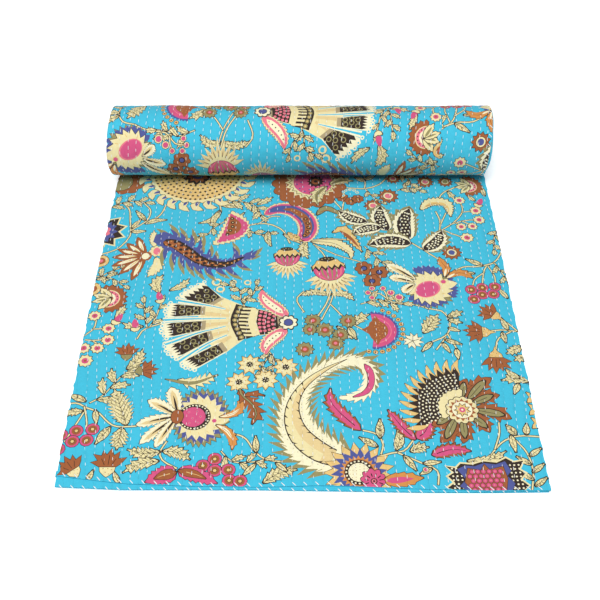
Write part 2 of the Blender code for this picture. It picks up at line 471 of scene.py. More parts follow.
@dataclass
class Pen:
    """Draws patches on the page, from a place of its own at its own turn and size."""

    patches: list
    origin: Points = field(default_factory=lambda: np.zeros(2))
    axes: Points = field(default_factory=lambda: np.eye(2))

    def at(self, x: float, y: float, turn: float = 0.0, size: float = 1.0) -> "Pen":
        """A pen whose page lies at (x, y) on this one's, turned by degrees, at a size."""
        c, s = math.cos(math.radians(turn)), math.sin(math.radians(turn))
        origin = self.origin + np.array([x, y]) @ self.axes
        return type(self)(self.patches, origin, size * np.array([[c, s], [-s, c]]) @ self.axes)

    def area(self, outline: Points, ink: Ink, rim: float = 0.0, rim_ink: Ink = DARK) -> None:
        """A patch of ink, over a slightly larger one where it has a rim."""
        placed = self.origin + in_pairs(outline) @ self.axes
        if rim:
            self.patches.append(Patch(grown(placed, 1.75 * rim), rim_ink))
        self.patches.append(Patch(placed, ink))

    def disc(self, x: float, y: float, radius: float, ink: Ink, rim: float = 0.0,
             rim_ink: Ink = DARK, flat: float = 1.0) -> None:
        """A round patch, or an oval one whose height is flat times its width."""
        count = int(np.clip(5 + 7 * radius, 6, 40))
        self.area(polar(radius, all_round(count)) * [1, flat] + [x, y], ink, rim, rim_ink)

    def rings(self, x: float, y: float, *rings: tuple) -> None:
        """Discs of (radius, ink) on one middle, the widest first."""
        for radius, ink in rings:
            self.disc(x, y, radius, ink)

    def star(self, x: float, y: float, inner: float, outer: float, points: int, ink: Ink,
             turn: float = 0.0, rim: float = 0.0, lean: float = 0.0, flat: float = 1.0) -> None:
        """A star: the radius steps between outer and inner, and the tips may lean round."""
        step = np.arange(2 * points)
        tip = step % 2 == 0
        angle = math.radians(turn) + math.pi * step / points + np.where(tip, lean, 0.0)
        ring = polar(np.where(tip, outer, inner), angle) * [1, flat]
        self.area(ring + [x, y], ink, rim)

    def scalloped(self, x: float, y: float, radius: float, lobes: int, depth: float, ink: Ink,
                  turn: float = 0.0, rim: float = 0.0) -> None:
        """A disc with round lobes: its radius rises by depth |sin| over each lobe."""
        angle = all_round(LOBE_STEPS * lobes)
        reach = radius - depth + depth * np.abs(np.sin(lobes * angle / 2))
        self.area(polar(reach, angle + math.radians(turn)) + [x, y], ink, rim)

    def sector(self, inner: float, outer: float, first: float, last: float, ink: Ink,
               rim: float = 0.0, teeth: int = 0, depth: float = 0.0) -> None:
        """A part of a ring about this pen's origin, in degrees, toothed outside if asked."""
        turn = math.radians(last - first)
        count = max(3, int(abs(turn) * outer * 1.2) + 2)
        near = polar(inner, np.radians(np.linspace(first, last, count)))
        if teeth:
            count = 2 * teeth + 1
            reach = outer + depth * (np.arange(count) % 2)
        else:
            reach = outer
        far = polar(reach, np.radians(np.linspace(last, first, count)))
        self.area(np.vstack([near, far]), ink, rim)

    def dots(self, places: Points, radius: float, ink: Ink, count: int = 5) -> None:
        """Small round dots."""
        ring = polar(radius, FULL * (np.arange(count) + 0.3) / count)
        for place in in_pairs(places):
            self.area(ring + place, ink)

    def pearls(self, rows: Sequence, size: float, ink: Ink, corners: int = 4,
               arc: tuple = (), at: tuple = (0, 0), flat: float = 1.0) -> None:
        """Rows of dots, each (radius, count), round a middle or on an arc between two degrees."""
        for radius, count in rows:
            turns = np.radians(np.linspace(*arc, count)) if arc else all_round(count)
            self.dots(polar(radius, turns) * [1, flat] + at, size, ink, corners)

    def band(self, points: Sequence, width: float, ink: Ink, rim: float = 0.0,
             end: Optional[float] = None, count: int = 0) -> None:
        """A line of ink of a width, which tapers evenly to its end width if that is given."""
        length = reach_of(points)
        path = curve(points, count or int(np.clip(length * 1.5, 3, 40)))
        half = np.linspace(width, width if end is None else end, len(path))[:, None] / 2
        off = across_of(path) * half
        self.area(np.vstack([path + off, (path - off)[::-1]]), ink, rim)

    def blade(self, points: Sequence, width: float, ink: Ink, teeth: int = 0,
              depth: float = 0.0, lean: float = 0.6, peak: float = 0.4, sharp: float = 1.6,
              rim: float = 0.0, rim_ink: Ink = DARK, sides: tuple = (1.0, 1.0)) -> None:
        """A leaf or feather along a curve, whose half-width is a lens's, with forward teeth.

        Every second point is a tooth's tip: it stands depth further out, and lean steps
        further on. sides scales the half-width to the left and to the right of the way.
        """
        length = reach_of(points)
        count = 2 * teeth + 1 if teeth else int(np.clip(length * 1.5, 6, 30))
        path = curve(points, count)
        s = np.linspace(0, 1, count)
        tip = np.arange(count) % 2 * (np.arange(count) < count - 2) * bool(teeth)
        tip = tip * np.minimum(1, 4.6 * s * (1 - s))
        off = across_of(path)
        calm = np.minimum(1, 3.5 * (1 - s))
        way = np.c_[off[:, 1], -off[:, 0]] * (lean * length / count * tip * calm)[:, None]
        body = width / 2 * lens(s, peak, sharp)
        left = path + off * (body * sides[0] + depth * tip)[:, None] + way
        right = path - off * (body * sides[1] + depth * tip)[:, None] + way
        self.area(np.vstack([left, right[::-1]]), ink, rim, rim_ink)

    def feather(self, left: Sequence, right: Sequence, ink: Ink, pitch: float = 0.0,
                depth: float = 0.0, lean: float = 0.6, rim: float = 0.0,
                rim_ink: Ink = DARK) -> None:
        """A shape between two edges that both run from its base to its tip.

        Its teeth come at a pitch along each edge. Every second point is a tooth's tip: it
        stands depth further out, and lean steps further on, and the last teeth are shorter.
        """
        sides = []
        for edge, way in ((left, 1), (right, -1)):
            length = reach_of(edge)
            count = 2 * int(length / pitch) + 1 if pitch else int(np.clip(length * 1.5, 6, 30))
            path = curve(edge, count)
            s = np.linspace(0, 1, count)
            tip = (np.arange(count) % 2) * np.minimum(1, 6 * (1 - s)) * bool(pitch)
            off = across_of(path)
            on = np.c_[off[:, 1], -off[:, 0]] * (lean * length / count * tip)[:, None]
            sides.append(path + off * (way * depth * tip)[:, None] + on)
        self.area(np.vstack([sides[0], sides[1][::-1]]), ink, rim, rim_ink)

    def thorns(self, path: Points, size: float, ink: Ink) -> None:
        """Small thorns on the right of a path, which point back along it."""
        off = across_of(path)
        for place, side in zip(path, off):
            on = np.array([side[1], -side[0]])
            self.area([place + 0.3 * size * on, place - 0.3 * size * on,
                       place - size * (0.8 * side + 0.7 * on)], ink)

    def flames(self, spine: Sequence, tips: Sequence, width: float, ink: Ink,
               reach: float = 1.0, bend: float = 0.18) -> None:
        """Curved blades from places along a spine to tips of (share of the spine, x, y)."""
        path = curve(spine, 61)
        for share, x, y in tips:
            root = path[int(round(60 * min(share, 1.0)))]
            way = (np.array([x, y]) - root) * reach
            sign = 1 if way[0] * 0.4 - way[1] > 0 else -1
            self.blade(bowed(root, root + way, bend * sign), width, ink, peak=0.3, sharp=1.2)

    def leaf(self, base: tuple, tip: tuple, width: float, bend: float = 0.0, teeth: int = 0,
             ribs: int = 0, rim: float = 0.07, core: Optional[Ink] = None) -> None:
        """A leaf from base to tip: a lens with a dark rim, a midrib, and slanting ribs.

        bend moves its middle sideways by a share of its length, and core fills its heart.
        """
        spine = bowed(base, tip, bend)
        body, depth = (0.66 * width, 0.24 * width) if teeth else (0.8 * width, 0.0)
        self.blade(spine, body, LEAF, teeth, depth, lean=1.2, rim=rim, sharp=1.95)
        if core:
            self.blade(spine, 0.5 * body, core, sharp=2.2)
        path = curve(spine, 9)
        self.band(path[0:8:2], 0.09, DARK, end=0.05, count=4)
        if ribs:
            off = across_of(path)
            for step in np.linspace(1.0, 6.4, ribs):
                k = int(step)
                root = path[k] + (path[k + 1] - path[k]) * (step - k)
                reach = 0.5 * body * lens(np.array(step / 8 + 0.08), 0.4, 1.6)
                on = unit(path[k + 1] - path[k]) * reach * 1.3
                for turn in (1, -1):
                    self.band([root, root + turn * off[k] * reach + on], 0.09, DARK,
                              end=0.05, count=2)

    def vines(self, width: float, *rows: tuple) -> None:
        """Cream stems with dark edges. A row holds the x and y of each point of one."""
        for row in rows:
            self.band(row, 0.8 * width, CREAM, rim=0.055)

    def leaves(self, *rows: tuple) -> None:
        """Leaves from rows of base x and y, tip x and y, width, bend, teeth and ribs."""
        for x, y, tip_x, tip_y, width, *rest in rows:
            self.leaf((x, y), (tip_x, tip_y), width, *rest)

    def sprigs(self, *rows: tuple) -> None:
        """Sprigs from rows of leaves, their length and width, and each point's x and y."""
        for leaves, length, width, *points in rows:
            self.sprig(points, leaves, length, width)

    def sprig(self, points: Sequence, leaves: int, length: float, width: float) -> None:
        """A stem with leaves on alternate sides, which shorten a little towards its tip."""
        self.vines(0.2, points)
        path = curve(points, 41)
        way = unit(np.gradient(path, axis=0))
        for number, s in enumerate(np.linspace(0.15, 1.0, leaves)):
            k = int(round(40 * s))
            swing = math.radians(48.0) * (1 if number % 2 else -1) * (0.0 if s == 1 else 1.0)
            c, d = math.cos(swing), math.sin(swing)
            aim = np.array([way[k, 0] * c - way[k, 1] * d, way[k, 0] * d + way[k, 1] * c])
            tip = path[k] + aim * length * (1.34 - 0.34 * s)
            self.leaf(path[k], tip, 0.92 * width, bend=0.08, teeth=4, rim=0.06)

    def berries(self, kind: "Berry", *places: tuple) -> None:
        """Berries of one kind at (x, y) or (x, y, size)."""
        for place in places:
            size = place[2] if len(place) > 2 else 1.0
            kind.draw(self.at(place[0], place[1], size=size))


class Berry(Enum):
    """The kinds of berry: how ragged the outside is, and its rings from the outside in."""

    CREAM = (9, ((0.98, Ink.CREAM), (0.5, Ink.PINK), (0.2, Ink.RUST)))
    OLIVE = (11, ((1.28, Ink.OLIVE), (0.66, Ink.RUST), (0.3, Ink.ROSE)))
    PINK = (0, ((0.98, Ink.PINK), (0.7, Ink.RUST), (0.36, Ink.DARK), (0.27, Ink.TAN)))
    BUD = (0, ((0.52, Ink.CREAM), (0.4, Ink.PINK)))

    def draw(self, pen: Pen) -> None:
        """One berry at the pen's place."""
        ragged, rings = self.value
        radius, ink = rings[0]
        if ragged:
            pen.star(0, 0, radius * 0.84, radius * 1.08, ragged, ink, rim=0.06)
        else:
            pen.disc(0, 0, radius, ink, rim=0.05)
        pen.rings(0, 0, *rings[1:])


# ---- the print's motifs


class FlowerPen(Pen):
    """A pen that knows the print's flowers and larger leaves."""

    def fan_panel(self, near: Sequence, far: Sequence) -> None:
        """One dark feather of the fan: ringed, toothed at its far end, with a fringe of beads."""
        near, far = np.asarray(near, float), np.asarray(far, float)
        outward = unit(far.mean(axis=0) - near.mean(axis=0))
        across = far[1] - far[0]
        for reach, depth, teeth, ink in ((0.75, 0.5, 6, PALE), (-0.25, 0.85, 5, DARK)):
            share = np.linspace(0, 1, 2 * teeth + 1)[:, None]
            edge = far[0] + across * share + outward * reach
            edge = edge + outward * depth * (np.arange(2 * teeth + 1) % 2)[:, None]
            quad = np.vstack([near, edge[::-1]])
            self.area(grown(quad, 0.22) if ink is PALE else quad, ink)
        back = unit(near.mean(axis=0) - far.mean(axis=0)) * 0.75
        self.area([near[0], near[1], near[1] + back, near[0] + back], GREY)
        for along, share in ((0.16, 0.28), (0.2, 0.74), (0.44, 0.16), (0.46, 0.56), (0.72, 0.34),
                             (0.74, 0.8)):
            side = far[0] + across * share
            root = near[0] + (near[1] - near[0]) * share
            self.rings(*(root + (side - root) * along), (0.5, OLIVE), (0.33, DARK))
        for share in (-0.12, 0.13, 0.38, 0.63, 0.88, 1.12):
            bulge = 0.6 * math.sin(math.pi * min(max(share, 0), 1))
            spot = far[0] + across * share + outward * (1 + bulge)
            self.rings(*spot, (0.38, PALE), (0.18, GROUND))

    def fan_palmette(self) -> None:
        """A fan of five dark, ringed feathers on a banded stalk, opening to the left."""
        panels = (((-15.1, 32.3), (-13.2, 33.9), (-18.9, 33.5), (-15.6, 36.5)),
                  ((-16.2, 30), (-16.2, 31.8), (-20.4, 29.7), (-20.2, 32.3)),
                  ((-15.9, 26.8), (-15.9, 28.7), (-20.2, 25.6), (-20.9, 28.2)),
                  ((-14.4, 24.6), (-14.9, 26.4), (-18.5, 21.7), (-20.2, 24.3)),
                  ((-12, 22.2), (-13, 23.9), (-15.6, 19.5), (-17.5, 21)))
        self.area((-9.2, 32, -13.2, 34.1, -15.6, 32.8, -16.6, 31.4, -16.2, 26.6, -15, 24.6, -13.4,
            23, -11.8, 22, -8.9, 25), CREAM)
        for line in ((-11.6, 29.9, -15.4, 30.2), (-11.6, 30.9, -14.6, 32.6),
                     (-11.6, 28.4, -15.4, 27.8), (-11.4, 26.7, -14.6, 25.5),
                     (-11, 25.5, -12.6, 24.2)):
            self.band(line, 0.5, SAND, end=0.9, count=2)
        for near_low, near_high, far_low, far_high in panels:
            self.fan_panel((near_low, near_high), (far_low, far_high))
        for slit in ((-12.2, 31.3, -15.4, 32.1, -19.9, 33.1), (-12, 29.3, -16, 29.2, -22, 28.9),
                     (-12, 27.6, -15.6, 26.5, -18.4, 25.2, -21.2, 23.9),
                     (-11.7, 25.8, -14.2, 24.3, -16.6, 22.4, -18.8, 20.4)):
            for width, ink in ((0.75, PALE), (0.3, GROUND)):
                self.band(slit, width * 0.5, ink, end=width * 1.5 - 0.05, count=9)
        self.area((-9, 31.9, -7.6, 31.6, -6.9, 31.1, -6.5, 25.9, -7.4, 25.5, -8.6, 25.1), CREAM,
            rim=0.06)
        self.feather((-9.9, 32, -10.5, 28.6, -9.3, 25), (-8, 31.8, -8.5, 28.6, -7.6, 25.3), DARK)
        for share in np.linspace(0.04, 0.96, 8):
            y = 25.5 + 6.1 * share
            x = -9.25 - 0.75 * math.sin(math.pi * min(share + 0.06, 1))
            self.band([(x + 1.9, y), (x, y + 0.08)], 0.42, CREAM, count=2)
            self.disc(x, y + 0.08, 0.27, CREAM)
        self.feather((-10.5, 32.3, -11.2, 28.6, -9.8, 24.7),
                     (-9.5, 32, -10.1, 28.6, -8.9, 25.1), DARK, rim=0.06)
        for place in curve((-9.9, 31.7, -10.6, 28.6, -9.4, 25.3), 8):
            self.rings(*place, (0.42, OLIVE), (0.2, TAN))
        self.area((-6.9, 31.2, -7.2, 28.6, -6.5, 25.8, -5, 26.1, -3.4, 26.8, -3.9, 28.4, -4, 30,
            -5.2, 30.7), DARK, rim=0.07, rim_ink=CREAM)
        for x, low, high, count in ((-6.45, 26.6, 30.7, 6), (-5.75, 26.7, 30.5, 6),
                                    (-5.05, 26.9, 30.2, 5), (-4.35, 27.2, 29.8, 4)):
            places = np.linspace(low, high, count)
            self.dots(np.c_[x - 0.25 * np.sin((places - low) / (high - low) * 3.1), places],
                      0.32, ROSE)
        self.area((-3.9, 29.9, -3.3, 29.8, -2.8, 28.4, -3, 26.9, -3.4, 26.8, -3.8, 28.4), GREY,
            rim=0.06)
        for spine in ([(-2.2, 29.7), (-3.7, 31.1), (-5.3, 32.6), (-6.2, 34), (-6.5, 35.6)],
                      [(-2.3, 26.9), (-3.5, 26.1), (-4.9, 24.7), (-5.6, 23.3), (-5.4, 21.9)]):
            self.blade(spine, 2.2, CREAM, 12, 0.34, sharp=1, rim=0.04)
            self.blade(spine, 1.9, ROSE, 12, 0.12, sharp=1)
            self.blade(curve(spine, 9)[1:8], 1.15, PALE, sharp=1)
            self.dots(curve(spine, 10)[2:8], 0.15, DARK, 4)
        self.scalloped(-2.1, 28.4, 1.66, 8, 0.35, DARK)
        self.scalloped(-2.1, 28.4, 1.42, 8, 0.33, PALE)
        self.rings(-2.1, 28.4, (0.8, DARK), (0.68, VIOLET))

    def feathered_paisley(self) -> None:
        """A great curled feather: olive and cream barbs round a sand heart, and a pink tip."""
        left = [(3.6, 0.9), (0.9, 1.9), (-1.4, 3.6), (-2.7, 6.4), (-3.1, 9.8), (-2.7, 12.9),
                (-1.3, 15.8), (0.9, 18.3), (3.8, 20.3), (6.8, 21.3), (9.2, 20.9), (10.7, 19.6),
                (11.2, 17.6), (10.8, 15.4), (9.5, 13.7), (7.8, 13.2), (5.6, 13.4)]
        right = [(6.4, 4.6), (4.2, 6.2), (2.2, 8.2), (1, 10.4), (0.7, 12.8), (1.3, 15.2),
                 (2.8, 17.4), (4.8, 19), (7, 19.9), (8.8, 19.6), (9.5, 18.6), (9.6, 17),
                 (9.2, 15.6), (8.4, 14.6), (7, 14), (5.6, 13.8)]
        self.feather(left[:14], right[:10], OLIVE, pitch=1.3, depth=1.8, lean=2.4, rim=0.26,
                     rim_ink=OLIVE)
        self.feather(left[:14], right[:10], PALE, pitch=1.3, depth=0.62, lean=1.5)
        self.feather(left[8:], right[6:], PALE, pitch=1.1, depth=0.55, lean=1.6, rim=0.04)
        for edge, way in ((left[:13], 1), (right[:9], -1)):
            path = curve(edge, 44)
            off, on = way * across_of(path), unit(np.gradient(path, axis=0))
            for k in range(1, 42, 2):
                self.band([path[k] - 0.1 * off[k], path[k] + 0.7 * off[k] + 0.9 * on[k]], 0.1,
                          OLIVE, count=2)
        outer = curve((4, 1.9, 2.2, 2.5, 0.6, 3.5, -1, 5.2, -2.1, 7.4, -2.5, 10, -2.1, 12.6, -1,
            14.9, 0.6, 17, 2.6, 18.6, 4.6, 19.8, 7, 20.9), 33)
        inner = curve((5, 4.4, 3.5, 5.4, 2, 6.7, 0.7, 8.2, -0.1, 10, -0.4, 12, 0, 14, 1, 15.9, 2.6,
            17.6, 4.6, 19.3, 7, 20.9), 33)
        self.area(np.vstack([outer, inner[::-1]]), SAND)
        middle = (outer + inner) / 2
        self.area(np.vstack([outer[2:30], middle[30:1:-1]]), CREAM)
        for line, side in ((outer, 1), (inner, -1)):
            self.band(line[::2], 0.2, DARK, end=0.1, count=24)
            off = across_of(line) * side * 0.36
            self.dots((line + off)[1:30], 0.07, DARK, 4)
        self.thorns(outer[2:24:2], 0.7, DARK)
        self.thorns(inner[1:20:2], -0.6, DARK)
        hook = [(9.6, 19.9), (10.3, 18.6), (10.5, 17), (10.2, 15.5), (9.3, 14.4), (7.6, 13.7)]
        self.blade(hook, 1, PINK, peak=0.3, sharp=0.8, rim=0.04)
        self.band((9.9, 18.4, 10.1, 17, 9.8, 15.6, 8.9, 14.5), 0.09, DARK, count=7)

    def ring_flower(self) -> None:
        """Orange and violet rays round a ring of pearls and a speckled heart."""
        self.star(0, 0, 3.6, 5, 17, TAN, turn=12, rim=0.05)
        self.star(0, 0, 2.9, 4, 18, VIOLET, turn=3, lean=0.06)
        self.star(0, 0, 2.2, 2.75, 24, ORANGE)
        self.rings(0, 0, (2.15, RUST), (2.02, DARK))
        self.pearls([(1.8, 20)], 0.16, PALE, 5)
        self.disc(0, 0, 1.52, PALE)
        self.pearls([(0.45, 5), (0.9, 9), (1.3, 13)], 0.07, RUST)

    def long_leaf(self, base: Sequence, tip: Sequence, width: float) -> None:
        """A pale serrated leaf with a sand heart and a long dark vein."""
        base, tip = np.asarray(base, float), np.asarray(tip, float)
        way = tip - base
        spine = [base, base + 0.5 * way + [0, 0.25], tip]
        self.blade(spine, 0.72 * width, PALE, 8, 0.17 * width, 1.4, peak=0.62,
                   sharp=1.2, rim=0.045)
        self.blade([base, base + 0.9 * way], 0.4 * width, SAND, peak=0.6, sharp=1.2)
        self.blade([base + 0.08 * way, base + 0.55 * way + [0, 0.15], base + 0.72 * way], 0.34,
                   DARK, peak=0.4)

    def pomegranate(self) -> None:
        """A split pomegranate: a pink heart in pearls, cream, violet and olive frills."""
        self.star(0, 0, 3.85, 4.5, 32, OLIVE, lean=0.03, rim=0.04, flat=1.2)
        self.star(0, 0, 3.4, 4.05, 24, VIOLET, turn=4, lean=0.05, flat=1.2)
        self.star(-0.1, 0, 3, 3.8, 17, CREAM, turn=8, lean=0.08, flat=1.12)
        self.blade((1.6, -0.2, 4.4, -0.5), 2.2, CREAM, peak=0.4, sharp=1.2)
        for turn in np.radians(np.linspace(-118, 112, 10)):
            self.band([polar(2.75, turn), polar(3.2, turn + 0.06)], 0.09, TAN, count=2)
        for x, y, wide in ((-4.9, 5.6, 2.4), (-8.2, 3.1, 2.1), (-9.5, -1.5, 1.9),
                           (-8.6, -4.8, 1.8), (-6.3, -5.4, 1.7)):
            self.long_leaf((-3.4, 0.3), (x, y), wide)
        self.disc(-0.9, 0.05, 2.46, DARK, flat=0.98)
        self.pearls([(2.18, 22)], 0.17, PALE, arc=(-140, 140), at=(-0.92, 0.05), flat=0.98)
        self.disc(-1.1, 0.05, 1.86, PINK, flat=0.98)
        for x, y in ((-1.8, 0.9), (-0.6, 1.1), (-1.2, -0.2), (0, 0.1), (-1.6, -1.1), (-0.3, -1)):
            self.rings(x, y, (0.2, ROSE), (0.09, VIOLET))
        self.rings(2.1, -0.65, (0.36, PINK))
        self.disc(-3.5, 0.1, 0.95, RUST, rim=0.05, flat=1.35)
        for spine, heart in (([(2.8, 0), (4.7, 0.5), (5.9, 1.6), (5.9, 3.8)], 0.45),
                             ([(2.4, -1.4), (4, -2.4), (5, -4), (5, -5.8)], 0.5)):
            self.blade(spine, 1.1, ORANGE, 7, 0.22, 1.4, rim=0.05, peak=0.5)
            self.blade(spine[:3], heart, PALE, peak=0.5)
            self.band(curve(spine, 6)[1:5], 0.09, RUST, end=0.04, count=4)

    def open_fruit(self) -> None:
        """A pink fruit among curled cream petals: violet frills, and three pairs of leaves."""
        self.star(0.3, -0.2, 3.5, 4.3, 26, OLIVE, lean=0.05, rim=0.04)
        for first, last, radius in ((52, 118, 4.9), (-28, 32, 4.5), (-150, -44, 3.9)):
            self.sector(2.6, radius, first, last, VIOLET, teeth=7, depth=0.5)
        self.star(0.2, 0.1, 3, 3.9, 17, CREAM, turn=6, lean=0.12, rim=0.05)
        self.blade((1.8, 0.6, 4.9, 1.2), 2, CREAM)
        for turn in np.radians((20, 60, 100, 200, 240, 285, 330)):
            self.band([polar(2.4, turn), polar(3, turn + 0.08)], 0.12, TAN, count=2)
        heart = self.at(-0.1, -0.2, turn=32)
        heart.disc(0, 0, 2.25, ROSE, flat=0.76)
        heart.disc(-0.1, 0, 2, PINK, flat=0.74)
        self.disc(2.6, 1.5, 0.42, PINK, rim_ink=TAN, rim=0.06)
        for base, tip, wide in (((-1.9, 2), (-6.6, 5.6), 1.9), ((-2.3, 1.4), (-6.3, 2.5), 1.8),
                                ((-2.2, 0.9), (-4.3, -1), 1.8)):
            self.long_leaf(base, tip, wide)
        for spine in ([(2.9, 2.6), (3.4, 4.6), (2.9, 5.8), (2.5, 7.4)],
                      [(3.2, 2.3), (4.8, 3.4), (6.2, 3.5), (7.6, 2.3)]):
            self.blade(spine, 1.2, ORANGE, 7, 0.24, 1.4, rim=0.06, peak=0.5)
            self.band(curve(spine, 7)[1:6], 0.2, RUST, end=0.06, count=5)
            self.blade(spine[:2], 0.4, PALE, peak=0.5)

    def rust_acanthus(self) -> None:
        """A jagged rust leaf that hangs from its stalk, with an olive spine."""
        spine = [(-0.2, 0.2), (0.2, -1), (1.7, -2.6), (2.4, -4.4), (1.8, -6.2)]
        self.blade(spine, 0.9, RUST, 7, 1, 1.7, peak=0.5, sharp=0.9, rim=0.06)
        self.blade((0.3, -1.1, 1.9, -0.7, 3.6, -1.1), 0.6, RUST, 3, 0.3, 1.2, rim=0.06)
        self.band(curve(spine, 9)[0:8], 0.3, OLIVE, end=0.14, count=8, rim=0.04)

    def violet_feather(self) -> None:
        """A flowing violet feather with separate olive-tipped flames and a beaded rust spine."""
        spine = [(-23.9, 46.9), (-21.8, 46.4), (-19.6, 44.6), (-17.4, 42.6), (-15, 41.6),
                 (-12.4, 41.7), (-9.6, 43.4)]
        upper = [(0.06, -25.4, 50.2), (0.14, -23.4, 51.5), (0.22, -21.4, 50.6),
                 (0.3, -19.2, 50.2), (0.38, -17.2, 49), (0.45, -17.4, 46.8), (0.53, -15.6, 46.2),
                 (0.62, -14.6, 44.6), (0.86, -12, 46.8), (0.97, -6.8, 45.6)]
        lower = [(0.1, -23.4, 41.2), (0.2, -21.4, 39.8), (0.28, -19.5, 39.2),
                 (0.37, -17.7, 38.6), (0.47, -16, 37.9), (0.58, -14.1, 37.6),
                 (0.68, -11.9, 38.2), (0.78, -9.8, 38), (0.9, -8.2, 40), (0.98, -7, 43.6)]
        for tips, bend in ((upper, 0.15), (lower, -0.12)):
            self.flames(spine, tips, 1.15, OLIVE, reach=1.06, bend=bend)
        for tips, bend in ((upper, 0.15), (lower, -0.12)):
            self.flames(spine, tips, 0.95, VIOLET, reach=0.78, bend=bend)
        self.blade([(-25.4, 48.6), *spine[1:], (-8, 45.2)], 3.4, VIOLET, 18,
                   0.5, 1.3, peak=0.16, sharp=0.9)
        self.blade(spine, 2.1, DARK, 24, 0.15, peak=0.22, sharp=0.8)
        self.blade(spine[:-1], 1.75, RUST, peak=0.2, sharp=0.9, sides=(0.8, 1.1))
        way = curve(spine, 26)
        places, out = way[1:24], across_of(way)[1:24]
        wide = np.linspace(0.5, 0.08, 23)[:, None]
        for side in (1, -1):
            self.dots((places + side * wide * out)[(side < 0)::2], 0.36, DARK)
            self.dots((places - side * wide * out)[(side < 0)::2], 0.2, ORANGE, 4)

    def rust_palmette(self) -> None:
        """Rust rays with cream hearts, half round a cream oval, on two serrated leaves."""
        self.blade((1.4, 2.2, 1, 4.2, 0.8, 6.5), 1, CREAM, 7, 0.28, 1.4, rim=0.05)
        self.blade((1.9, -0.3, 2.4, -2.2, 1, -4.9), 1.5, CREAM, 8, 0.36, 1.4, rim=0.05)
        for x, y in ((-1.8, 4.7), (-3.5, 3.2), (-4.8, 1.7), (-5.5, -0.2), (-5.3, -2.3),
                     (-3.8, -4.2), (-1.6, -5.6)):
            root, tip = np.array([0.2, 0]), np.array([x, y], float)
            self.blade([root, tip * 0.55, tip], 1.25, RUST, 6, 0.14, peak=0.55,
                       sharp=1.3, rim=0.03)
            self.blade([tip * 0.22, tip * 0.84], 0.66, PALE, peak=0.5, sharp=1.2)
            self.blade([tip * 0.24, tip * 0.6], 0.22, TAN)
        self.scalloped(1.9, 1.2, 1.35, 9, 0.3, CREAM, rim=0.05)
        self.disc(1.9, 1.2, 0.62, ROSE, flat=1.5)
        self.disc(0.3, 0, 0.9, RUST, flat=1.2)
        self.disc(0.1, 0, 0.66, PALE, flat=1.2)

    def crescent_paisley(self) -> None:
        """A crescent in cream, pink and violet bands round a rust heart with dark seeds."""
        spine = [(-6.6, 53.9), (-4.4, 55.5), (-1.8, 55.3), (0.4, 53.4), (1.2, 51),
                 (0.9, 49), (-0.2, 47.1)]
        self.blade(spine, 3.5, CREAM, 26, 0.3, 0.9, peak=0.6, sharp=0.7, rim=0.04)
        self.blade(spine, 3.2, ROSE, peak=0.6, sharp=0.75)
        self.blade(spine, 2.9, PINK, peak=0.6, sharp=0.8)
        self.blade([(-6, 54.5), *spine[1:-1], (0.2, 47.8)], 2.2, VIOLET, peak=0.55, sharp=0.8)
        self.blade([(-3.4, 55.4), *spine[2:-1], (0.3, 48)], 1.35, RUST, peak=0.55, sharp=0.8)
        for k, place in enumerate(curve([(-1.8, 55.2), *spine[3:6], (0.5, 48.6)], 8)):
            self.rings(*place, (0.42 if k > 2 else 0.24, DARK), (0.2, ORANGE))
        self.blade((-2.4, 49.4, -1.3, 48.2, 0.2, 47.2), 0.9, TAN, 4, 0.3, rim=0.05)
        self.thorns(curve((0.1, 47.3, -1, 48, -2, 49), 5), 0.6, DARK)

    def pink_wedge(self) -> None:
        """A slice of fruit: a cream frill, pink flesh, a rust heart and dark seeds."""
        self.feather((-15.2, 46.3, -14.2, 49, -13.3, 52, -12.4, 55), (-15.2, 46.3, -12, 47.2, -9.9,
            48.9, -9.3, 51, -10.3, 53.1, -12.4, 55), CREAM, pitch=0.9, depth=0.4, lean=0.9,
            rim=0.04)
        self.feather((-14.6, 46.8, -13.5, 49.6, -12.6, 54.3), (-14.6, 46.8, -11.6, 47.8, -9.9,
            49.5, -9.7, 51.7, -12.6, 54.3), PINK, pitch=0.8, depth=0.22)
        self.feather((-13.3, 48.6, -13, 50.8, -12.6, 53.8), (-13.3, 48.6, -11.5, 49, -10.6, 50.4,
            -10.9, 52, -12.6, 53.8), RUST)
        for place in curve((-12.3, 52.9, -12.1, 50.9, -12.9, 48.9), 5):
            self.rings(*place, (0.36, DARK), (0.13, SAND))

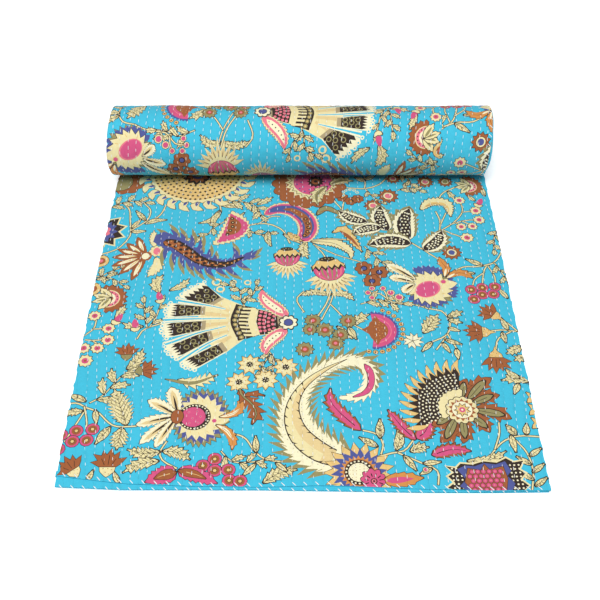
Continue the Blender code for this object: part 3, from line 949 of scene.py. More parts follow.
    def cup_flower(self) -> None:
        """A hanging flower: a tan crown, a ribbed pink cup, and a burst of cream petals."""
        turns = np.radians(np.linspace(-172, -8, 23))
        tips = np.array([4.3, 4, 4.2, 4.4, 4.7, 5.1, 4.7, 4.4, 4.2, 4, 4.3])
        reach = np.r_[np.stack([np.full(11, 2.9), tips], axis=1).ravel(), 2.9]
        burst = np.vstack([polar(reach, turns), [(1.2, 0.2), (-1.2, 0.2)]]) * [0.94, 1]
        self.area(burst + [0, -0.3], CREAM, rim=0.05)
        for k, turn in enumerate(turns[3:21:2]):
            root, tip = polar(2, turn) + [0, -0.3], polar(3.5 + 0.2 * (k % 3), turn) + [0, -0.3]
            self.blade([root, tip], 0.55, SAND, peak=0.5)
            self.band([root, root + 0.6 * (tip - root)], 0.11, DARK, end=0.05, count=2)
        turns = np.radians(np.linspace(-190, 10, 16))
        self.area(polar(2.3, turns) * [1, 1.02] + [0, 0.7], PINK, rim=0.05)
        for share in (-0.78, -0.48, -0.16, 0.16, 0.48, 0.78):
            rib = [(2.2 * share, 0.9), (2.1 * share, -0.4), (0.8 * share, -1.5)]
            self.band(rib, 0.32, OLIVE if abs(share) < 0.5 else ROSE, end=0.1, count=5)
        for low, wide, ink in ((0.45, 2.5, DARK), (0.8, 2.35, TAN)):
            zigzag = [(wide * (k / 5 - 1), low + 0.75 * (k % 2)) for k in range(11)]
            crown = [(wide, 1.5), (1.9, 1.9), (1.5, 2.6), (0.5, 2.5), (0, 2.9), (-0.6, 2.5),
                     (-1.5, 2.6), (-1.9, 1.9), (-wide, 1.5)]
            self.area(np.array(zigzag + crown), ink, rim=0.05 if ink is DARK else 0)
        self.disc(0, 2.8, 1.25, DARK, flat=0.42)
        self.dots((-0.7, 2.8, -0.2, 2.95, 0.3, 2.8, 0.8, 2.85), 0.17, OLIVE, 4)

    def half_rosette(self) -> None:
        """Half a flower, rust, pink and violet, with a string of beads round it."""
        self.sector(0, 3.75, -98, 98, VIOLET, teeth=22, depth=0.3)
        self.sector(0, 3.5, -97, 97, PINK)
        self.sector(0, 2.75, -96, 96, ROSE)
        self.sector(0, 2.6, -96, 96, PINK)
        self.sector(0, 2.2, -98, 98, RUST)
        self.area((0.3, 3.2, -0.3, 2, -0.7, 1.6, -0.9, 0.9, -2, 0.1, -0.9, -0.8, -0.6, -1.6, -0.2,
            -2.1, 0.4, -3.1, 1.2, -1.5, 1.2, 1.5), RUST)
        self.pearls([(0.8, 5), (1.4, 7), (1.9, 9)], 0.11, ORANGE, arc=(-84, 84))
        for turn in np.radians(np.linspace(-104, 70, 14)):
            self.rings(*polar(4.5, turn), (0.46, DARK), (0.37, TAN), (0.2, RUST))

    def scalloped_flower(self) -> None:
        """A wide rust flower with cream zigzags, a seeded pink field and a dark heart."""
        self.scalloped(0, 0, 6.9, 17, 0.7, RUST, rim=0.06)
        self.star(0.4, 0.3, 4.1, 4.9, 22, CREAM)
        self.star(0.5, 0.3, 3.8, 4.4, 22, OLIVE)
        self.star(0.5, 0.3, 3.6, 4.1, 22, CREAM)
        self.disc(0.7, 0.4, 3.6, PINK)
        self.pearls([(2.2, 10), (3, 15)], 0.19, VIOLET, 5, at=(0.7, 0.4))
        self.star(1.2, 0.5, 1.2, 1.7, 12, DARK)
        self.rings(1.2, 0.5, (0.8, RUST), (0.35, DARK))

    def rosette(self, heart: Ink = ROSE) -> None:
        """A small rust flower with a cream ring."""
        self.star(0, 0, 1.25, 1.7, 11, RUST, rim=0.06)
        self.rings(0, 0, (0.95, DARK), (0.86, CREAM), (0.6, heart))

    def half_flower(self) -> None:
        """A jagged rust flower in profile: cream and pink bands, seeds, and a calyx of leaves."""
        self.sector(0, 2.7, -106, 106, RUST, teeth=11, depth=0.45, rim=0.05)
        self.sector(0, 1.95, -104, 104, CREAM)
        self.sector(0, 1.8, -104, 104, ROSE)
        self.sector(0, 1.25, -104, 104, PALE)
        self.pearls([(1.5, 8)], 0.13, DARK, 5, arc=(-88, 88))
        self.sector(0, 0.85, -104, 104, RUST)
        for tip, wide in (((-1.2, 2.6), 1.2), ((-2.4, 1.2), 1.1), ((-2.6, -0.4), 1),
                          ((-1.6, -2.2), 1.2)):
            self.blade([(0.4, 0), tip], wide, CREAM, 5, 0.12, rim=0.06)
            self.blade([(0.2, 0), tuple(np.multiply(tip, 0.75))], wide * 0.4, OLIVE)

    def bell(self, cup: Ink = CREAM, tall: float = 1.0) -> None:
        """A rust bellflower, its points upwards, in a speckled cup."""
        tip = -1.7 if tall == 1 else -2.5
        self.area([(-1.2, 0.2), (-1, -0.8), (-0.3, -1.5), (0, tip), (0.3, -1.5), (1, -0.8),
                  (1.2, 0.2)], cup, rim=0.05)
        self.dots((-0.6, -0.3, 0.1, -0.3, 0.6, -0.5, -0.2, -0.9, 0.3, -1.2), 0.09, RUST, 4)
        points = np.array([(-1.25, 0), (-2.5, 0.7), (-1.5, 1), (-2.3, 2.1), (-1.05, 1.75),
                           (-0.9, 2.6), (-0.3, 1.9), (0.3, 3.1), (0.7, 1.8), (1.5, 2.5),
                           (1.4, 1.3), (2.6, 1.5), (1.9, 0.6), (1.25, 0)])
        self.area(points * [1, tall], RUST, rim=0.05)
        for x, y in ((-1, 1.3), (0.1, 1.9), (1.1, 1.3)):
            self.band([(0.5 * x, 0.3 * tall), (x, y * tall)], 0.09, DARK, count=2)

    def bud(self) -> None:
        """A magenta bud in a small cream calyx, pointing upwards."""
        self.blade((0, -0.2, 0.15, 2.3), 1.3, PINK, sharp=1.3)
        self.blade((-0.9, 0.1, 0, -0.5, 0.9, 0.1), 0.9, CREAM, rim=0.06)

    def cream_star(self) -> None:
        """A small cream star flower with a dark seeded heart."""
        self.star(0, 0, 1.3, 1.95, 9, TAN, rim=0.05)
        self.star(0, 0, 1.15, 1.6, 9, CREAM)
        self.pearls([(1.05, 9)], 0.1, RUST, arc=(20, 340))
        self.star(0, 0, 0.42, 0.66, 9, DARK)
        self.dots((-0.2, 0.1, 0.2, 0.15, 0, -0.25), 0.11, PALE, 4)

    def magenta_leaf(self, spine: Sequence, width: float) -> None:
        """A magenta leaf with rust teeth and a dark midrib."""
        self.blade(spine, width, RUST, 8, 0.45, 1.4, peak=0.35, sharp=1.1, rim=0.06)
        self.blade(spine, width * 0.82, PINK, 8, 0.2, 1.2, peak=0.35)
        self.band(curve(spine, 9)[1:8], 0.14, DARK, end=0.05, count=8)

    def dotted_leaf(self, base: tuple, tip: tuple, width: float, bend: float) -> None:
        """A dark leaf full of cream dots, with a cream serrated rim inside an olive one."""
        spine = bowed(base, tip, bend)
        beyond = [*spine[:2], spine[2] + 0.06 * (spine[2] - spine[0])]
        self.blade(beyond, width * 1.25, OLIVE, 6, 0.6, 1.2, sharp=1)
        self.blade(spine, width, PALE, 9, 0.32, 1.4, sharp=1.2, rim=0.05)
        self.blade(spine, width * 0.66, DARK, 9, 0.1, 1.2, sharp=1.4)
        path = curve(spine, 12)
        off = across_of(path)
        for k in range(2, 10):
            reach = width * 0.19 * lens(np.array(k / 11), 0.4, 1.4)
            sides = (-1, 0, 1) if k % 2 else (-0.5, 0.5)
            self.dots([path[k] + off[k] * reach * side for side in sides], 0.2, PALE, 5)

    def dotted_fan(self) -> None:
        """A dark fan of pearls with a tan frill, a cream bowl, a rosette, and olive leaves."""
        for angle, reach, width in ((-126, 6.4, 2.6), (-101, 8.2, 2.9), (-74, 7.2, 2.5),
                (-30, 6.6, 2.7), (4, 8.6, 3), (40, 7.4, 2.7), (66, 8.8, 3), (94, 6.4, 2.4)):
            turn = math.radians(angle)
            spine = [polar(1.5, turn), polar(reach * 0.6, turn + 0.08), polar(reach, turn - 0.06)]
            self.blade(spine, 0.74 * width, RUST, 5, 0.6, 1.2, peak=0.55, sharp=1.3, rim=0.04)
            self.blade([polar(2.2, turn), polar(reach * 0.86, turn)], 0.46 * width, OLIVE,
                       peak=0.55, sharp=1.3, rim=0.08)
            self.band([polar(3, turn), polar(reach * 0.7, turn)], 0.09, DARK, count=2)
        for angle in np.linspace(104, 222, 12):
            turn = math.radians(angle)
            self.blade([polar(6.2, turn), polar(8.6, turn + 0.05), polar(10.6, turn - 0.03)],
                       1.35, TAN, peak=0.35, sharp=1.5, rim=0.03)
        self.sector(3.3, 7.4, 102, 226, DARK, teeth=12, depth=1.6)
        for radius, count in ((4.1, 12), (4.7, 13), (5.3, 15), (5.9, 17), (6.5, 18), (7.1, 19)):
            slip = 1.5 * (count % 4)
            self.pearls([(radius, count)], 0.19, PALE, 5, arc=(106 + slip, 222 + slip))
        self.sector(0, 3.7, 96, 234, CREAM, rim=0.06, teeth=9, depth=0.3)
        self.scalloped(0.3, -0.4, 2.8, 13, 0.35, CREAM, rim=0.07)
        self.star(0.3, -0.4, 1.8, 2.4, 14, RUST)
        self.disc(0.3, -0.4, 1.75, PALE)
        self.star(0.3, -0.4, 0.8, 1.35, 9, TAN, rim=0.06)
        self.rings(0.3, -0.4, (0.55, PINK), (0.22, PALE))

    def seeded_palmette(self) -> None:
        """A tan palmette that opens downwards: rows of seeds, curled leaves, a dark flower."""
        for angle in np.linspace(-168, -12, 13):
            turn = math.radians(angle)
            root, tip = polar(8.3, turn), polar(11.2, turn + 0.09)
            self.blade([root, polar(10.2, turn - 0.05), tip], 1.5, CREAM, rim=0.05, sharp=1.2)
            self.blade([polar(8.7, turn), polar(10, turn - 0.03)], 0.6, VIOLET)
        self.sector(0, 8.7, -176, -4, CREAM, teeth=16, depth=0.5, rim=0.06)
        self.sector(0, 8.3, -175, -5, TAN)
        rows = [(radius, int(radius * 3.3)) for radius in np.arange(3.3, 8.2, 0.95)]
        self.pearls(rows, 0.25, DARK, 5, arc=(-170, -10))
        self.star(0, -1.2, 2.2, 3, 11, DARK)
        self.star(0, -1.2, 1.6, 2.2, 11, RUST)
        self.rings(0, -1.2, (1.1, VIOLET), (0.6, OLIVE), (0.3, DARK))

    def berry_bowl(self) -> None:
        """A basket with dark corners full of pearls, a violet lining and a heap of berries."""
        rim = [(-5.4, 2.1), (-4, 1.7), (-3.3, 2.4), (-1.6, 2.2), (0, 2.7), (1.8, 2.4), (3.2, 3.1),
            (4.2, 2.4), (5.6, 2.6), (4.7, 1.2), (5.5, 0.6), (4.6, -0.4), (5.6, -1.4), (4.8, -3.2),
            (-4.9, -3.2), (-5.6, -1.4), (-4.5, -0.6), (-5.3, 0.4), (-4.4, 1)]
        self.area(rim, DARK, rim=0.14, rim_ink=CREAM)
        for x in (-4.6, -4, -3.4, 3.6, 4.2, 4.8):
            heights = np.arange(-2.7, 2.2, 0.62) + 0.3 * (x > 0)
            self.dots(np.c_[np.full(len(heights), x), heights], 0.16, PALE)
        self.area((-3.9, 1.5, -2.7, 2.1, -1.4, 1.9, 0, 2.4, 1.6, 2.1, 3, 2.6, 3.6, 1, 2.9, 0.2,
            3.8, -1, 3.2, -3.1, -3.1, -3.1, -3.9, -1.2, -2.9, -0.2), VIOLET, rim=0.04)
        self.area((-2.4, 1.6, -0.6, 1.2, 0, 2.2, 0.6, 1.3, 2.6, 1.8, 2.9, -0.2, 2.4, -3, -2.4, -3,
            -3.1, -0.6), RUST, rim=0.04)
        for number, y in enumerate(np.arange(-2.6, 1.6, 0.72)):
            for x in np.arange(-2.3, 2.5, 0.8) + 0.4 * (number % 2):
                self.rings(x, y, (0.4, DARK), (0.35, PINK), (0.14, ROSE))



@dataclass
class FloralPage:
    """One repeat of the print, as on the flat part: x from its middle, y from the front hem."""

    patches: list = field(default_factory=list)

    def draw(self) -> list:
        """All the patches of the page, in the order in which they lie on each other."""
        pen = FlowerPen(self.patches)
        self.left_vines(pen)
        self.middle_vines(pen)
        self.right_vines(pen)
        self.small_flowers(pen)
        self.berries(pen)
        self.great_motifs(pen)
        return self.patches

    def great_motifs(self, pen: FlowerPen) -> None:
        """The large flowers, feathers and palmettes, each at its place."""
        pen.at(-19.4, 66.2, 4).seeded_palmette()
        pen.at(-26.6, 43.4).rust_palmette()
        pen.violet_feather()
        pen.pink_wedge()
        pen.crescent_paisley()
        pen.at(1.4, 62.6).scalloped_flower()
        pen.leaf((4.6, 61.8), (2.9, 56.4), 2.4, bend=-0.18, teeth=6, core=OLIVE)
        pen.leaf((5.2, 62.2), (9.6, 63.3), 2, bend=0.16, teeth=5, core=OLIVE)
        pen.at(-2.4, 42.6, 2, 0.92).cup_flower()
        pen.at(4.7, 39.6, 8, 1.14).cup_flower()
        pen.vines(0.27, (23.4, 42.6, 19.4, 46.4, 14.6, 50.4, 10.4, 52.6, 7.2, 53.2))
        for base, tip, width, bend in (
            ((20.9, 45), (24.6, 49.8), 2.9, -0.12), ((18.4, 47.3), (19.4, 55.9), 3.5, 0.1),
            ((15.2, 49.8), (14.2, 56.4), 3, 0.12), ((19, 46.6), (11.6, 46.2), 3.1, -0.12),
            ((14, 50.6), (9, 49), 2.6, -0.1), ((11.6, 52.1), (6.6, 55), 2.5, 0.1),
        ):
            pen.dotted_leaf(base, tip, width, bend)
        pen.at(20.9, 35.9).open_fruit()
        pen.at(11.5, 26.8).half_rosette()
        pen.fan_palmette()
        pen.at(-14.7, 10.1, size=0.97).pomegranate()
        pen.at(-9, 15).rust_acanthus()
        pen.feathered_paisley()
        pen.at(8, 0.8).ring_flower()
        pen.blade((11.2, -0.6, 16.9, -0.1), 2, ORANGE, 5, 0.2, rim=0.05)
        pen.blade((11.6, -0.6, 15.6, -0.2), 1, PINK)
        pen.scalloped(9.9, -0.3, 1.75, 9, 0.4, PINK, rim=0.05)
        for turn in np.radians(np.linspace(-20, 200, 8)):
            pen.band([polar(0.75, turn) + [10, -0.6], polar(1.3, turn) + [10, -0.6]], 0.16,
                     DARK, count=2)
        pen.rings(10, -0.6, (0.5, DARK), (0.36, ROSE), (0.18, DARK))
        pen.magenta_leaf((8.5, 7.8, 5.9, 10.6, 4.3, 13, 4.3, 15.4), 1.7)
        pen.magenta_leaf((16.3, 6.2, 14.6, 8.2, 12.6, 11.4), 1.3)
        pen.magenta_leaf((16.5, 6.4, 17.8, 7.6, 18.7, 9.7), 2)
        pen.magenta_leaf((18.4, 3.6, 21.2, 4.5, 24, 4.3), 1.6)
        pen.at(23.4, 11.8, -16, 0.86).dotted_fan()
        pen.at(25.6, -0.1, 2).berry_bowl()

    def small_flowers(self, pen: FlowerPen) -> None:
        """Bellflowers, buds, rosettes and the other small flowers."""
        for x, y, turn, size, cup in ((-31.9, 1.2, 40, 0.85, CREAM),
                                      (-27.1, 1.7, 0, 0.98, CREAM),
                                      (-26.9, 21.9, 4, 0.74, OLIVE),
                                      (-24, 18.7, -76, 0.76, OLIVE)):
            pen.at(x, y, turn, size).bell(cup)
        for x, y, turn, size in ((30.7, 30.1, 52, 0.8), (28.4, 26.4, 88, 0.9),
                                 (29.9, 21.2, 178, 0.92)):
            pen.at(x, y, turn, size).bell(TAN, tall=1.1)
        for x, y, turn in ((-29.4, 28.6, -18), (-26.2, 27.3, 14), (-22.9, 33.3, 20),
                           (31.9, 56.6, -22)):
            pen.at(x, y, turn=turn, size=0.85).bud()
        for x, y, size in ((15.8, 59.1, 1.1), (12.9, 56.4, 0.98), (17, 64, 0.8), (22.9, 63, 0.9)):
            pen.at(x, y, turn=40 * x, size=size).rosette()
        pen.at(25.7, 44.4).rosette(VIOLET)
        pen.at(26.6, 63, size=0.8).rosette(OLIVE)
        pen.at(30.6, 61.8, size=0.9).half_flower()
        pen.at(-31.4, 33.6, 8).half_flower()
        for x, y in ((-33.9, 42.3), (-34.3, 35.8)):
            pen.rings(x, y, (1.45, DARK), (1.35, TAN), (0.8, RUST), (0.4, ROSE))
        for radius, ink, points in ((4.9, CREAM, 11), (4.4, DARK, 11)):
            pen.star(-35.2, 49.6, radius * 0.72, radius, points, ink, turn=16)
        pen.star(-35.2, 49.6, 2.4, 3.1, 13, VIOLET)
        pen.scalloped(-35.2, 49.6, 1.9, 9, 0.3, ROSE)
        pen.scalloped(-32.4, 63, 3.5, 9, 0.5, RUST, rim=0.06)
        pen.blade((-34, 60.5, -32.6, 63, -33.4, 66), 2.8, OLIVE, rim=0.06)
        for x, y in ((-7.9, 19.9), (-2.4, 19.4), (-9.4, 16.5), (-5.4, 16.9)):
            pen.at(x, y, turn=9 * x).cream_star()
        pen.star(17.4, 24.6, 1, 1.7, 10, PALE, turn=20, rim=0.06, lean=0.12)
        for turn in np.radians((20, 85, 150, 215, 290)):
            pen.band([(17.4, 24.6), polar(1.1, turn) + [17.4, 24.6]], 0.1, DARK, count=2)
        for x, y in ((10.5, 40.6), (13, 39.6), (11.7, 37.6)):
            pen.scalloped(x, y, 1.55, 7, 0.35, RUST, turn=30 * x, rim=0.06)
            pen.rings(x, y, (0.6, DARK), (0.42, VIOLET))
        for x, y in ((7.4, 58.6), (8.9, 57.6), (10.2, 58.2)):
            pen.scalloped(x, y, 1.1, 7, 0.25, RUST, rim=0.06)
            pen.rings(x, y, (0.42, DARK), (0.26, ORANGE))
        for angle in np.linspace(200, 20, 6):
            spot = polar(1.35, math.radians(angle)) * [1, 0.9] + [8.9, 59.6]
            pen.rings(*spot, (0.36, CREAM), (0.2, GROUND))

    def berries(self, pen: FlowerPen) -> None:
        """Bunches of berries on their stalks."""
        pen.vines(0.24, (-34.8, 25, -32.8, 27, -32.6, 29.2), (-32.8, 27, -30.8, 27.1), (-34.6,
            24.8, -32.6, 24.6, -31.4, 23.6), (-32.6, 24.6, -30.6, 24.9), (-35, 20.6, -33.5, 20.6),
            (24.3, 49.8, 27, 52, 28.8, 54.8, 28.7, 57.6), (28.6, 54.6, 31.2, 55), (26.2, 51.4, 29,
            52.4, 31.4, 52.6), (28.4, 52.2, 30, 51.2), (27.2, 51.9, 28.2, 51), (24.8, 50, 26.6,
            48.9, 28.5, 48), (16.4, 32.6, 14.4, 33, 13, 34.6, 11.2, 34.9), (14, 33.4, 13.8, 34.8,
            13.4, 35.8), (15.6, 32.8, 14.8, 34.4), (3.2, 29, 4.6, 32.4, 5.2, 34.6), (4.6, 32.4,
            6.2, 30.2, 7.2, 29))
        pen.berries(Berry.CREAM, (-33, 29.8), (-30.4, 27.1), (-30.2, 24.8), (-33.7, 23.1),
                    (-31.6, 23.1), (-33.1, 20.6, 1.15), (28.6, 57.8), (31.2, 55),
                    (31.5, 52.6), (30.1, 50.9, 0.85), (28.1, 50.8, 0.9), (28.8, 48.1, 1.1))
        pen.berries(Berry.BUD, (11.6, 35.9), (10.9, 34.9), (13.4, 35.9), (14.6, 34.9, 1.3),
                    (15.9, 33.9, 1.4), (11.5, 33.8), (17.3, 1.2, 0.8))
        pen.berries(Berry.OLIVE, (1.8, 28.8), (1.3, 26.9, 0.85), (3.7, 26.8, 1.1),
                    (7.4, 28.7), (6.1, 25.8, 0.95), (5.3, 24.1), (0.5, 22.9, 1.05))
        pen.berries(Berry.PINK, (-34.5, 7), (-32.4, 7.7), (-30.1, 8), (-32.7, 5.9),
                    (-30.7, 6.1), (-34.5, 4.6), (-12.2, 3), (-13.8, 1.9), (-12.1, 1.1),
                    (-10.2, 1.2), (-10, -0.5), (-8.5, -0.6), (27.9, 35.6), (29.8, 36.1),
                    (31.9, 36.3), (29.6, 34.5), (31.4, 34.6), (28.1, 33.5))
        for spine, width in (([(-17.4, 0.8), (-19.2, 0.3), (-21.6, -0.8)], 2.9),
                             ([(-17.2, 1.1), (-14.8, 0.5), (-11.6, -1)], 2.3)):
            pen.blade(spine, 0.86 * width, PINK, 7, 0.3, peak=0.3, sharp=1.2, rim=0.05)
            pen.blade(spine[:2] + [np.mean(spine[1:], axis=0)], width * 0.56, RUST, peak=0.4,
                      rim=0.04)
            pen.band(curve(spine, 6)[1:4], 0.12, TAN, end=0.05, count=4)

    def left_vines(self, pen: FlowerPen) -> None:
        """Stems and leaves on the left third of the page."""
        pen.vines(0.27, (-35.4, 12.2, -33.2, 12.6, -31.6, 11.8, -29.8, 11, -27.8, 9, -26.4, 8.4,
            -23.8, 8.5))
        pen.vines(0.26, (-31.6, 11.6, -32.4, 9.4, -33.8, 5.8), (-31.9, 12, -31.2, 9.6, -31, 8.2))
        pen.sprigs((6, 2.6, 1.3, -31.2, 12.6, -29.4, 14, -27.4, 17.2, -26.2, 18.4))
        pen.vines(0.26, (-26.6, 18.2, -25.4, 18.5, -24.4, 18.7))
        pen.leaves((-26.5, 18.9, -24.5, 23, 1.7, -0.1, 6, 4), (-25.3, 8.7, -27.9, 15.2, 3.3, 0, 11,
            7), (-25.9, 8.2, -26.2, 4.4, 2.4, 0, 7, 5), (-27.6, 8.4, -29.4, 5.4, 1.6, 0, 0, 3),
            (-31.8, 12.9, -34.5, 14.2, 1.3, 0, 0, 3), (-32, 11.2, -34.6, 10.8, 1.2, 0, 5), (-30.2,
            11.4, -29.7, 8.9, 1.1))
        pen.vines(0.26, (-19.2, 5.9, -20, 4, -19.4, 2.6, -17.4, 1.4))
        pen.leaves((-20, 4.1, -24.7, 4.5, 1.8, 0.1, 7, 5), (-19.6, 4.2, -15.6, 2.8, 1.9, 0.12, 7,
            5), (-20, 2.6, -24.9, 0.7, 1.8, -0.1, 6, 5), (-29.6, -0.6, -29, 1.2, 0.9), (-25.2, -1,
            -26.2, 1, 0.9))
        pen.vines(0.27, (-35.2, 43.4, -31.6, 45.2, -29.9, 48.2, -29.6, 50, -27.4, 52.4, -27, 55,
            -28.4, 57), (-29.8, 49.6, -30.3, 52.4, -30.8, 55.2, -31.9, 56.8))
        pen.vines(0.26, (-27.3, 51.8, -25.2, 53.8, -24.4, 56.6))
        pen.sprigs((7, 1.9, 1, -35, 55.4, -32.6, 57, -30.2, 57.6, -28.2, 57.2))
        pen.leaves((-27.6, 51.6, -23.8, 52.6, 1.3, 0.1, 0, 3), (-27.6, 52.4, -29.6, 55, 1.2, 0, 0,
            3), (-29.7, 49.5, -27.2, 49.7, 1.1), (-29.8, 50.4, -28.4, 52.8, 1))
        pen.sprigs((5, 1.7, 0.9, -34.6, 37.4, -32.4, 39.4, -30.4, 40.6), (5, 1.5, 0.8, -34.2, 38.8,
            -31.2, 38, -29.4, 36.6))
        pen.leaves((-23.2, 34.9, -23, 39, 1.7, 0.24, 6), (-21.6, 35.4, -18.6, 38.2, 1.3, -0.12, 5))
        pen.vines(0.26, (-22.2, 28.2, -24, 27.5, -25, 26.8, -25.7, 25))
        pen.sprigs((5, 1.7, 0.9, -24.4, 27.4, -25, 29.8, -25.4, 32.6), (4, 1.6, 0.8, -24, 27.4,
            -23.2, 29.6, -22.6, 32.8))
        pen.leaves((-25, 27.6, -28.4, 28.3, 1.4, 0.12, 4), (-29.6, 29, -28.4, 32.4, 1.2, 0, 4))
        pen.blade((-18.6, 16.9, -16, 16.4, -12.6, 17.9), 0.9, CREAM, 7, 0.8, 1.6, rim=0.06)
        pen.blade((-20.6, 17.1, -16.4, 16.3, -13, 17.7), 0.5, OLIVE, rim=0.03)

    def middle_vines(self, pen: FlowerPen) -> None:
        """Stems and leaves on the middle of the page."""
        pen.vines(0.27, (-10.4, 7.3, -8.2, 6.6, -6.6, 4.2, -5, 2.9, -2.4, 2.5, 1.2, 2.8))
        pen.sprigs((6, 1.8, 0.9, -11.4, 4.3, -9.8, 2.6, -7.4, 2.4, -5.2, 2.8))
        pen.leaves((-6.4, 4, -6.6, 6.9, 1.1, 0, 0, 2), (-5.3, -0.9, -0.6, 1.2, 1.9, 0.1, 7, 5),
            (-6.4, 2.2, -8.2, 0.2, 1), (-3.6, 2.3, -2, 0.9, 0.9))
        pen.sprigs((5, 1.5, 0.8, -5, 23, -5.2, 21.4, -6.4, 18.6), (4, 1.3, 0.7, -5, 22.4, -4.2, 21,
            -4.4, 18.6))
        pen.leaves((4.8, 34.4, -0.3, 34.3, 1.3, -0.14, 8, 4), (4.8, 34.6, 8.6, 33.2, 1.3, 0.2, 7,
            4))
        pen.vines(0.28, (4.8, 35.4, 4, 32.4, 2.4, 29.4))
        pen.vines(0.24, (0.4, 30.6, -0.8, 33.4, 0.4, 35.2))
        pen.leaves((5.6, 27.6, 8, 25, 1.2), (8.2, 27.8, 10.9, 30.2, 1.7, 0.1, 4, 3))
        pen.vines(0.24, (7.8, 28.2, 9.6, 27))
        pen.leaves((7.4, 27.4, 8.6, 24.9, 1.3, 0, 0, 2))
        pen.vines(0.28, (-14.4, 54.8, -14.8, 56.6, -16.6, 57.9))
        pen.leaves((-14.6, 55.2, -18.2, 51.8, 1.4, 0.2), (-14.4, 54.8, -15.4, 50.6, 1.4, -0.16),
            (-13.6, 52.6, -10.2, 54.6, 1.5, -0.2, 4), (-14.3, 56.4, -10.6, 56, 1.6, 0.08, 0, 4),
            (-13.4, 57.4, -11, 60.4, 1.3, 0, 0, 4))
        pen.sprigs((8, 2.3, 1.1, -13.8, 57.6, -10.6, 57.4, -8.4, 56.4, -7.2, 53.8))
        pen.leaves((-8, 56.6, -5.2, 58.8, 1.3, 0, 4))
        pen.sprigs((5, 1.6, 0.9, -13.6, 52.2, -15.6, 50.4, -16.4, 48.8, -19.2, 47.8))
        pen.vines(0.3, (-10.2, 51, -6.4, 51.6, -3.4, 50, -2, 46.6))
        pen.vines(0.24, (-7.8, 51.4, -5.4, 53.4, -3.8, 53.4))
        pen.sprigs((4, 1.6, 0.9, -9.8, 50.4, -7.6, 48.8, -5.6, 49))
        pen.leaves((-5.8, 49.6, -5.2, 45.8, 1.4, -0.1, 0, 3), (-3.2, 49, 0, 46.6, 1.1), (0.8, 47.2,
            1.1, 42.8, 1.7, -0.16, 6, 3))
        pen.blade((1.6, 47.2, 5.6, 46.8, 8.2, 44.8, 8.4, 42.6), 1.5, CREAM, 13, 0.3, rim=0.09)
        pen.band(curve((1.6, 47.2, 5.6, 46.6, 8.2, 44.4), 8), 0.12, DARK, end=0.05)
        pen.vines(0.26, (2, 46.6, 3.6, 44.2, 4.2, 42.6))
        pen.vines(0.22, (1.6, 47.4, 5, 47.8, 8.4, 47.4))
        pen.vines(0.2, (2, 46.4, 6, 43.8, 10.6, 41.8))
        pen.sprigs((5, 2, 0.9, 10.8, 45.8, 12.6, 43.4, 14.2, 41))
        pen.blade((5.4, 49.4, 7.4, 50.3, 8.8, 47.6, 10.4, 44.4), 1.2, TAN, 10, 0.35, rim=0.08)
        pen.blade((6.6, 50, 8.4, 48, 10, 45.4), 0.7, RUST)
        pen.vines(0.27, (7.2, 51.6, 7.3, 55, 6, 57.6, 5.8, 60, 7.4, 61.3, 11.4, 61.1, 14.2, 62.2,
            16, 64.4))
        pen.vines(0.24, (7.3, 55.2, 7.6, 57.2, 8, 58.2))
        pen.vines(0.26, (11.6, 61.3, 11.8, 63, 11.6, 65.2))
        pen.sprigs((4, 1.3, 0.8, 11.8, 60.9, 13, 58.8, 14.4, 57.6))
        pen.leaves((11.7, 63.2, 9.9, 64.4, 1.3, 0, 0, 2), (11.8, 63.6, 13.8, 65, 1.3, 0, 0, 2))
        pen.blade((2.7, 53.9, 4.4, 55.7, 7.1, 53.9), 1.2, OLIVE, rim=0.08, sharp=1.3)
        pen.band((3.3, 54.6, 4.6, 55.2, 6.4, 54.4), 0.18, RUST, end=0.06)
        for x, y, size in ((-14, 37.3, 1), (-13.3, 35.7, 0.9), (-11.3, 37.3, 0.7),
                           (-8.9, 37.2, 0.75)):
            pen.rings(x, y, (0.92 * size, DARK), (0.86 * size, CREAM), (0.5 * size, GROUND))
        pen.sprigs((6, 1.6, 0.9, -9, 31.6, -9.8, 33.4, -10.2, 35.6, -12, 36.6), (4, 1.5, 0.8, -9.6,
            33, -8, 34.4, -7.4, 36.6))

    def right_vines(self, pen: FlowerPen) -> None:
        """Stems and leaves on the right third of the page."""
        pen.vines(0.27, (8.8, 7.8, 10.8, 7.1, 11.6, 5.4, 11.2, 3.7), (10.4, 3.2, 12.6, 3.9, 14.6,
            4.4, 16, 6.2), (13.6, 4, 16.6, 2.4, 18.9, 1, 18.8, -1.2))
        pen.leaves((11.2, 6.4, 11.4, 9.8, 1.5, 0, 0, 4), (10.8, 5, 8.2, 6.6, 1.3, 0, 0, 4), (13.4,
            4.4, 13.9, 8.2, 1.7, -0.1, 0, 3), (15.4, 4.2, 18.1, 4.9, 1.6, 0.1, 5, 4), (14.4, 3.6,
            16, 1, 1.2, 0, 0, 3), (17, 2.2, 19.6, 2.5, 1), (18.2, 1.4, 16.4, 0.4, 0.9))
        pen.vines(0.27, (26.2, 2.9, 28.4, 5.6, 31, 6.8, 34.8, 6.6))
        pen.vines(0.26, (27.4, 4.6, 28.4, 7.2, 28.6, 9.2))
        pen.vines(0.27, (30.2, 6.6, 31.8, 4, 32.2, 1, 31.6, -2))
        pen.leaves((30, 7, 30.3, 4, 1.1), (30.8, 7, 29.6, 8.8, 1.4, 0, 0, 3), (32.2, 7, 32.6, 9,
            1.2), (23.2, 2.6, 29, 4.3, 1.5, -0.12, 7, 5))
        for side, y in ((1, 4), (-1, 2.6), (1, 1.4), (-1, 0.2), (1, -0.8)):
            pen.leaf((32.1, y - 0.6), (32.1 + 1.9 * side, y + 0.8), 1, ribs=2)
        pen.leaves((34.2, 16.6, 30, 16.8, 1.6, -0.1, 4, 3), (32.9, 17.2, 31, 19, 1.2, 0.1), (32.6,
            16.2, 31.6, 14.2, 1.2))
        for y in (13.6, 11.4, 9):
